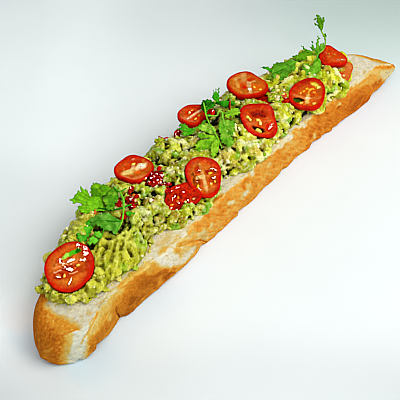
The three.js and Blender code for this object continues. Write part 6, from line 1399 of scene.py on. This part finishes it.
# of each leaf: main colour, second colour, lift in mm, depth of its cup, amount of ripple
LOOKS = {
    '1A': ((130, 198, 30), (142, 206, 44), 0.0, 0.8, 0.6), '1B': ((98, 160, 20), (136, 186, 30), -0.8, 1.0, 0.9), '1C': ((84, 146, 26), (124, 174, 44), -0.2, 0.9, 0.9),
    '1I': ((60, 150, 22), (96, 190, 40), 0.0, 0.3, 0.3), '1E': ((94, 160, 44), (124, 180, 74), 0.0, 1.2, 0.8), '1F': ((76, 166, 34), (104, 186, 52), 0.2, 0.8, 0.7),
    '1G': ((104, 186, 40), (122, 200, 58), 0.4, 0.4, 0.3), '1H': ((108, 190, 48), (126, 204, 64), 0.4, 0.4, 0.3),
    '2A': ((64, 160, 20), (104, 196, 36), 0.0, 0.5, 0.4), '2B': ((34, 104, 10), (70, 150, 20), 0.0, 0.8, 0.5), '2C': ((70, 166, 20), (40, 110, 10), 0.0, 0.9, 0.5),
    '2D': ((136, 190, 44), (166, 208, 62), 0.0, 0.5, 0.5), '2E': ((76, 176, 22), (104, 176, 40), 0.0, 0.6, 0.5), '2F': ((128, 184, 44), (172, 210, 84), 0.2, 0.7, 0.8),
    '2G': ((112, 172, 30), (150, 200, 50), -0.6, 0.9, 0.8), '2H': ((140, 190, 42), (158, 202, 60), 0.7, 0.6, 0.4), '2I': ((108, 172, 40), (142, 188, 66), 0.4, 1.1, 0.9),
    '2J': ((40, 140, 16), (64, 170, 20), 0.0, 0.2, 0.2), '3A': ((100, 154, 18), (100, 148, 20), 0.0, 0.5, 0.3), '3B': ((96, 160, 20), (90, 150, 20), 0.0, 0.2, 0.2),
    '3C': ((136, 194, 76), (112, 170, 46), 0.2, 0.6, 0.4), '3D': ((110, 170, 50), (96, 160, 44), 0.0, 0.2, 0.2), '3E': ((90, 156, 38), (96, 160, 44), 0.0, 0.2, 0.2),
    '3F': ((112, 168, 22), (100, 150, 18), 0.0, 0.8, 0.8), '3I': ((114, 174, 42), (128, 184, 56), 0.3, 0.9, 0.7), '3G': ((90, 144, 36), (108, 168, 46), 0.2, 1.0, 0.8),
    '3H': ((56, 146, 20), (84, 166, 24), 0.0, 0.3, 0.3),
}
SPRIGS = {
    "coriander_sprig_near": dict(leaves=['1A', '1B', '1C', '1I', '1E', '1F', '1G', '1H'], stems=[
        ([(-65.9, 13.5, 44), (-69.1, 7.7, 44.4), (-73, 3.8, 43.8), (-80.3, -1.7, 42.5), (-87.4, -3.1, 38.5)], 0.62, (130, 200, 60)),
        ([(-62.9, 2.5, 40), (-68.6, 3.3, 42.5), (-73, 3.8, 43.7)], 0.5, (60, 160, 30)),
        ([(-65.6, 19.2, 44), (-65.9, 13.5, 44.2), (-60.5, 13.9, 42.4)], 0.45, (90, 170, 40)),
        ([(-73, 3.8, 43.7), (-77, 6.8, 43.2), (-79.5, 10.5, 42.9), (-82, 15, 42.8)], 0.5, (60, 140, 30)),
        ([(-80.3, -1.7, 42.6), (-83, 0.5, 43.2), (-86, 5, 42.8)], 0.5, (80, 150, 40)),
        ([(-86, 5, 42.7), (-89.5, 9.8, 42.2), (-94, 10.5, 41.2)], 0.45, (80, 150, 40)),
        ([(-94.7, -0.1, 41.2), (-90.5, 2.5, 41.5), (-86, 5, 42)], 0.4, (90, 160, 40))]),
    "coriander_sprig_middle": dict(leaves=['2A', '2B', '2C', '2D', '2E', '2F', '2G', '2H', '2I', '2J'], stems=[
        ([(20.3, 24.5, 47), (16.4, 20, 47.2), (13.5, 16.7, 46.4), (9.6, 11, 45.9), (6.1, 4.2, 45.6), (3.8, -0.9, 44.4), (2.8, -5, 39.5)], 0.5, (140, 206, 60)),
        ([(13.5, 16.7, 45.6), (17.4, 11.2, 46.4), (18.5, 11.4, 48), (20.4, 11, 48), (20.9, 9.8, 46.8), (18.6, 7.8, 46.2), (14, 2, 45.6)], 0.5, (150, 204, 80)),
        ([(18, 21.5, 46.8), (22, 20.5, 46), (27, 20, 45.6)], 0.5, (90, 160, 40)),
        ([(10.8, 14.6, 44.8), (5, 14.4, 44.4), (0, 16, 43.9)], 0.45, (90, 170, 40)),
        ([(20.4, 10.4, 47.2), (23.5, 8.2, 45.8), (27, 7.4, 45.4)], 0.45, (120, 180, 50))]),
    "coriander_sprig_far": dict(leaves=['3A', '3B', '3C', '3D', '3E', '3F', '3I'], stems=[
        ([(113.9, 3.8, 58), (114.7, 2.4, 55), (115.7, 1.1, 51), (114.8, 0.4, 47), (113.3, 0.6, 44.5), (109.4, 1.7, 43.2), (107.8, 5.5, 40)], 0.5, (150, 196, 70)),
        ([(109, 6.9, 46), (108.6, 4, 45), (109.4, 1.7, 43)], 0.4, (110, 170, 50)),
        ([(104.8, 7.6, 45), (107, 4.4, 44), (109.4, 1.7, 43)], 0.4, (110, 170, 50)),
        ([(109.4, 1.7, 43.4), (105.5, -0.3, 43.4), (101, -1, 43)], 0.45, (120, 190, 60))]),
    "coriander_leaf_far": dict(leaves=['3G', '3H'], stems=[
        ([(95, 7.8, 42.6), (90, 8.8, 43), (84, 10.4, 42.9), (77.1, 12.6, 42)], 0.45, (110, 190, 50))]),
}


def make_leaf(name, pile):
    foot, tip, face, outline = LEAVES[name]
    c1, c2, lift, cup, ripple = LOOKS[name]
    foot, tip, outline = np.array(foot), np.array(tip), np.array(outline, float)
    root = np.array([min(0.4, outline[:, 0].min()), outline[np.argmin(outline[:, 0]), 1] * 0.5])
    away = np.linalg.norm(outline - root, axis=1)
    cleft = [k for k in range(len(outline)) if away[k] < away[k - 1] and away[k] < away[(k + 1) % len(outline)] and away[k] > 0.35 * away.max()]
    for k in cleft:
        outline[k] = root + (outline[k] - root) * (1.0 if len(cleft) > 5 else 0.86)
    a = tip - foot
    a = a / np.linalg.norm(a)
    n = np.array([0, 0, 1.0]) * (1 - face) + TO_VIEW * face
    n = n - a * (n @ a)
    n = n / np.linalg.norm(n)
    b = np.cross(n, a)
    # outline with extra points, then a grid inside it
    pts = []
    for k in range(len(outline)):
        p, q = outline[k], outline[(k + 1) % len(outline)]
        m = max(1, int(np.linalg.norm(q - p) / 0.55))
        pts += [p + (q - p) * t / m for t in range(m)]
    ring = np.array(pts)
    # small teeth round the outer part of the leaf
    step_on = np.roll(ring, -1, 0) - np.roll(ring, 1, 0)
    outward = np.stack([step_on[:, 1], -step_on[:, 0]], -1) / np.maximum(np.linalg.norm(step_on, axis=1, keepdims=True), 1e-6)
    twice_area = (ring[:, 0] * np.roll(ring[:, 1], -1) - np.roll(ring[:, 0], -1) * ring[:, 1]).sum()
    outward *= 1 if twice_area > 0 else -1
    run = np.cumsum(np.linalg.norm(ring - np.roll(ring, 1, 0), axis=1))
    saw = np.abs((run / 2.5) % 1.0 - 0.7) / 0.7
    reach = np.linalg.norm(ring - root, axis=1)
    bite = 0.4 if len(cleft) > 5 else 1.25
    ring = ring + outward * (bite * (0.42 - saw) * smooth(0.35, 0.6, reach / reach.max()))[:, None]
    lo, hi = ring.min(0), ring.max(0)
    step = 0.55
    gx, gy = np.meshgrid(np.arange(lo[0], hi[0], step), np.arange(lo[1], hi[1], step * 0.866))
    gx = gx + (np.arange(gx.shape[0]) % 2)[:, None] * step / 2
    inside = np.stack([gx.ravel(), gy.ravel()], -1)
    d = np.linalg.norm(inside[:, None] - ring[None], axis=2).min(1)
    inside = inside[d > 0.32]
    verts = [Vector(p) for p in np.concatenate([ring, inside])]
    vv, _, ff, *_ = delaunay_2d_cdt(verts, [], [list(range(len(ring)))], 1, 1e-5)
    p2, tri = np.array([tuple(p) for p in vv]), np.array([f for f in ff if len(f) == 3])
    e1, e2 = p2[tri[:, 1]] - p2[tri[:, 0]], p2[tri[:, 2]] - p2[tri[:, 0]]
    area = e1[:, 0] * e2[:, 1] - e1[:, 1] * e2[:, 0]
    tri = tri[np.abs(area) > 1e-6]
    area = area[np.abs(area) > 1e-6]
    tri[area < 0] = tri[area < 0][:, ::-1]
    # the tips of the lobes: local far points of the outline, where the veins run
    base = np.array([min(0.4, outline[:, 0].min()), outline[np.argmin(outline[:, 0]), 1] * 0.5])
    rad = np.linalg.norm(outline - base, axis=1)
    far = [k for k in range(len(outline)) if rad[k] > rad[k - 1] and rad[k] >= rad[(k + 1) % len(outline)] and rad[k] > 0.45 * rad.max()]
    vein = np.full(len(p2), 9.0)
    for k in far:
        end = base + (outline[k] - base) * 0.93
        dd = end - base
        t = clamp01(((p2 - base) @ dd) / (dd @ dd))
        vein = np.minimum(vein, np.linalg.norm(p2 - base - t[:, None] * dd, axis=1) * (1 + 1.1 * t))
    q3 = np.concatenate([p2, np.full((len(p2), 1), float(sum(map(ord, name))) * 1.37)], 1)
    length, width = rad.max(), max(np.abs(outline[:, 1]).max(), 1.0)
    rim = np.array([np.linalg.norm(ring - p, axis=1).min() for p in p2])
    w = (lift - cup * 0.9 * (np.linalg.norm(p2 - p2.mean(0), axis=1) / (0.6 * length)) ** 2 + ripple * 1.25 * noise(q3, 5.0, 101) + 0.55 * ripple * noise(q3, 2.3, 102)
         - 0.16 * np.exp(-(vein / 0.5) ** 2) + 0.22 * np.exp(-((vein - 1.3) / 0.8) ** 2))
    notch = np.full(len(p2), 9.0)
    for k in cleft:
        d0, d1 = outline[k], root + (outline[k] - root) * 0.55
        dd = d1 - d0
        t = clamp01(((p2 - d0) @ dd) / (dd @ dd))
        notch = np.minimum(notch, np.linalg.norm(p2 - d0 - t[:, None] * dd, axis=1) * (1 + 0.9 * t))
    w = w - 0.2 * np.exp(-(notch / 0.7) ** 2)
    thick = 0.14
    top = foot + np.outer(p2[:, 0], a) + np.outer(p2[:, 1], b) + np.outer(w + thick * smooth(0, 0.4, rim) * 0.9, n)
    low = foot + np.outer(p2[:, 0], a) + np.outer(p2[:, 1], b) + np.outer(w - thick, n)
    # boundary edges close the rim
    e = np.concatenate([tri[:, [0, 1]], tri[:, [1, 2]], tri[:, [2, 0]]])
    key = e[:, 0] * 100000 + e[:, 1]
    back = e[:, 1] * 100000 + e[:, 0]
    edge = e[~np.isin(key, back)]
    m = len(p2)
    walls = np.concatenate([np.stack([edge[:, 1], edge[:, 0], edge[:, 0] + m], -1), np.stack([edge[:, 1], edge[:, 0] + m, edge[:, 1] + m], -1)])
    faces = np.concatenate([tri, tri[:, ::-1] + m, walls])
    col = mix(np.broadcast_to(srgb(*c1), (m, 3)), srgb(*c2), smooth(-0.25, 0.45, noise(q3, 3.6, 103)))
    col = mix(col, np.minimum(srgb(*c2) * 1.3 + 0.02, 0.9), 0.35 * np.exp(-(vein / 0.3) ** 2))
    col = mix(col, srgb(*c1) * 0.5, 0.32 * smooth(0.1, 0.7, noise(q3, 2.4, 104)))
    col = mix(col, np.minimum(srgb(*c2) * 1.2, 0.9), 0.3 * smooth(0.2, 0.7, noise(q3, 1.5, 105)))
    # painted shade: the clefts between the lobes are painted darker
    col = mix(col, srgb(*c1) * 0.35, 0.45 * np.exp(-(notch / 0.5) ** 2))
    col = mix(col, srgb(*c1) * 0.4, 0.6 * (1 - smooth(0.05, 0.5, rim)) * smooth(-0.3, 0.2, noise(q3, 3.0, 106)))
    f1, _, rid = cells(q3, 2.6, 107)
    col = mix(col, srgb(150, 116, 40), 0.7 * (1 - smooth(0.08, 0.2, f1)) * (rid > 0.86))
    both = np.concatenate([col, col * 0.8 + 0.03])
    pile.add(np.concatenate([top, low]), faces, both)


def make_herbs():
    for node, spec in SPRIGS.items():
        pile = Pile()
        for leaf in spec["leaves"]:
            make_leaf(leaf, pile)
        for pts, r, c in spec["stems"]:
            v, f, _ = tube(pts, r, 8, 0.25)
            pile.add(v, f, srgb(*c))
        v, f, c = pile.arrays()
        # leave out the points that no face uses
        f = f if isinstance(f, list) else [f]
        used = np.unique(np.concatenate([np.asarray(q).ravel() for q in f]))
        f = [np.searchsorted(used, q) for q in f]
        place(mesh(node.replace("coriander", "herb"), np.asarray(v)[used], f, HERB_MAT, np.asarray(c)[used]), "herb", node)


# ---------------------------------------------------------------- loose grains of avocado
def make_loose():
    rng = np.random.default_rng(5)
    unit, uf = icosphere(1)
    pile = Pile()
    n = 70
    x = rng.uniform(-136, 132, n)
    yr = along(MASH_RIGHT, x)
    y = yr - np.abs(rng.normal(0, 0.9, n)) + 0.4
    for i in range(n):
        r = rng.uniform(0.35, 0.95)
        z = BREAD_HEIGHT + 0.45 * r
        if y[i] < along(RIGHT_EDGE, x[i]) + 1.5:
            continue
        rot = turns(rng, 1)[0]
        p = (unit * (1 + rng.uniform(-0.25, 0.25, (len(unit), 1))) * np.array([1.3, 1, 0.8]) * r) @ rot.T + [x[i], y[i], z]
        c = [srgb(206, 202, 80), srgb(222, 218, 110), srgb(190, 200, 70), srgb(214, 196, 120)][int(rng.integers(0, 4))]
        pile.add(p, uf, c)
    v, f, c = pile.arrays()
    place(mesh("avocado_grains", v, f, MASH_MAT, c), "avocado")


# ---------------------------------------------------------------- build it
make_bread()
make_mash()
seed_pile = Pile()
drop_pile = Pile()
for number, spec in SLICES.items():
    make_slice(number, spec, seed_pile, drop_pile)
make_wet_pieces(seed_pile, drop_pile)
dv, df, dc = drop_pile.arrays()
place(mesh("tomato_juice", dv, df, WET_MAT, dc), "tomato")
sv, sf, sc = seed_pile.arrays()
place(mesh("tomato_pips", sv, sf, SEED_MAT, sc), "tomato")
make_herbs()
make_clumps()
make_loose()

# ---------------------------------------------------------------- floor, light, camera
scene = bpy.context.scene
floor_mat = material("pale_table", roughness=0.6, specular=0.2, speck=[(40, 0.01)])
steps = np.concatenate([[-2, -1.2, -0.7], np.linspace(-0.45, 0.45, 141), [0.7, 1.2, 2]])
fx, fy = np.meshgrid(steps, steps, indexing="ij")
row = len(steps)
fi, fj = np.meshgrid(np.arange(row - 1), np.arange(row - 1), indexing="ij")
first = (fi * row + fj).ravel()
# painted shade and light on the table: greyer towards the far right and the near left, lighter at the far left and
# beside the nose, where the slice casts its shadow
back, side = 0.7604 * fx + 0.6494 * fy, 0.6494 * fx - 0.7604 * fy
shade = (1 - 0.25 * smooth(0.05, 0.21, back) * smooth(-0.12, 0.16, side) - 0.07 * smooth(0.1, 0.2, back) - 0.12 * smooth(-0.06, -0.15, back) * smooth(-0.05, -0.12, side)
         - 0.05 * smooth(-0.10, -0.16, back) * smooth(0.05, 0.10, side) - 0.05 * smooth(-0.09, -0.14, side))
shade = shade * (1 + 0.10 * smooth(-0.04, -0.12, side) * smooth(0.0, 0.05, back) - 0.11 * smooth(-0.095, -0.145, back)
                 - 0.03 * smooth(-0.10, -0.137, back) * smooth(0.0, -0.05, side) + 0.30 * np.exp(-((side + 0.113) / 0.03) ** 2 - ((back + 0.108) / 0.03) ** 2))
far_right_painted_shade = smooth(-0.02, 0.10, side) * smooth(0.05, 0.16, back)
# and a painted shadow next to the near wall, cooler and darker, more so at its near end
px, py = 1000 * fx + ORIGIN[0], 1000 * fy + ORIGIN[1]
out = along(RIGHT_EDGE, px) - 1.9 - py
beside = np.exp(-((np.clip(out, 0, None) / 16) ** 2)) * smooth(-40, -25, out) * smooth(-166, -146, px) * (1 - smooth(150, 178, px))
beside_near = beside * (1 - smooth(-88, -60, px))
floor_hue = np.stack([(1 - 0.09 * far_right_painted_shade) * (1 - 0.06 * beside) * (1 - 0.11 * beside_near), (1 - 0.01 * far_right_painted_shade) * (1 - 0.02 * beside) * (1 - 0.055 * beside_near),
                      (1 - 0.05 * far_right_painted_shade) * (1 + 0.065 * beside) * (1 - 0.055 * beside_near)], -1)
floor_tint = np.minimum(srgb(233, 239, 239)[None, :] * shade.reshape(-1, 1) * floor_hue.reshape(-1, 3), 0.98)
floor = mesh("floor", np.stack([fx, fy, 0 * fx - 0.0002], -1).reshape(-1, 3), np.stack([first, first + row, first + row + 1, first + 1], -1), floor_mat,
             tint=floor_tint, is_metres=True)

world = bpy.data.worlds.new("studio")
scene.world = world
world.use_nodes = True
bg = world.node_tree.nodes["Background"]
bg.inputs["Color"].default_value = (0.95, 0.985, 1.0, 1)
bg.inputs["Strength"].default_value = 0.44


def area(name, location, target, size, power, colour=(1, 1, 1)):
    d = bpy.data.lights.new(name, "AREA")
    d.shape, d.size, d.energy, d.color = "SQUARE", size, power, colour
    o = bpy.data.objects.new(name, d)
    o.location = location
    o.rotation_mode = "QUATERNION"
    o.rotation_quaternion = (Vector(target) - Vector(location)).to_track_quat("-Z", "Y")
    scene.collection.objects.link(o)
    return o


# screen right is (0.649, -0.760, 0); away from the camera is (0.519, 0.443)
box = area("softbox", (0.28, -0.72, 0.95), (0, 0, 0.02), 1.0, 10.8, (1.0, 0.99, 0.975))
box.visible_glossy = False
fill = area("fill", (-0.75, -0.50, 1.15), (0, 0, 0), 1.1, 6.4, (1.0, 1.0, 1.0))
fill.visible_glossy = False
strip = area("strip", STRIP_AT, (-0.13, -0.11, 0.0), 0.40, 3.7, (1.0, 1.0, 1.0))
strip.data.shape, strip.data.size_y = "RECTANGLE", 0.10
strip.visible_diffuse = False
strip.rotation_quaternion = (1, 0, 0, 0)

cam_data = bpy.data.cameras.new("camera")
cam_data.lens, cam_data.sensor_width = 88.65, 36.0
cam_data.clip_start, cam_data.clip_end = 0.02, 20
cam = bpy.data.objects.new("camera", cam_data)
scene.collection.objects.link(cam)
fwd = Vector((0.5186, 0.4429, -0.7314)).normalized()
right = Vector((0.6494, -0.7604, 0)).normalized()
up = right.cross(fwd)
cam.matrix_world = Matrix(((right.x, up.x, -fwd.x, -0.3335), (right.y, up.y, -fwd.y, -0.273433), (right.z, up.z, -fwd.z, 0.450), (0, 0, 0, 1)))
scene.camera = cam

scene.view_settings.view_transform = "Standard"
scene.view_settings.look = "None"
scene.view_settings.exposure = 0.0

# a light crispening of the finished picture, in display-like values
scene.use_nodes = True
ct = scene.node_tree
ct.nodes.clear()
layers = ct.nodes.new("CompositorNodeRLayers")
dark = ct.nodes.new("CompositorNodeGamma")
dark.inputs["Gamma"].default_value = 1 / 2.2
crisp = ct.nodes.new("CompositorNodeFilter")
crisp.filter_type = "SHARPEN"
crisp.inputs["Fac"].default_value = 0.14
back = ct.nodes.new("CompositorNodeGamma")
back.inputs["Gamma"].default_value = 2.2
final = ct.nodes.new("CompositorNodeComposite")
level = ct.nodes.new("CompositorNodeCurveRGB")
line = level.mapping.curves[3]
for cx, cy in [(0.22, 0.15), (0.45, 0.385), (0.70, 0.665), (0.90, 0.90)]:
    line.points.new(cx, cy)
level.mapping.update()
ct.links.new(layers.outputs["Image"], dark.inputs["Image"])
ct.links.new(dark.outputs["Image"], level.inputs["Image"])
ct.links.new(level.outputs["Image"], crisp.inputs["Image"])
ct.links.new(crisp.outputs["Image"], back.inputs["Image"])
ct.links.new(back.outputs["Image"], final.inputs["Image"])
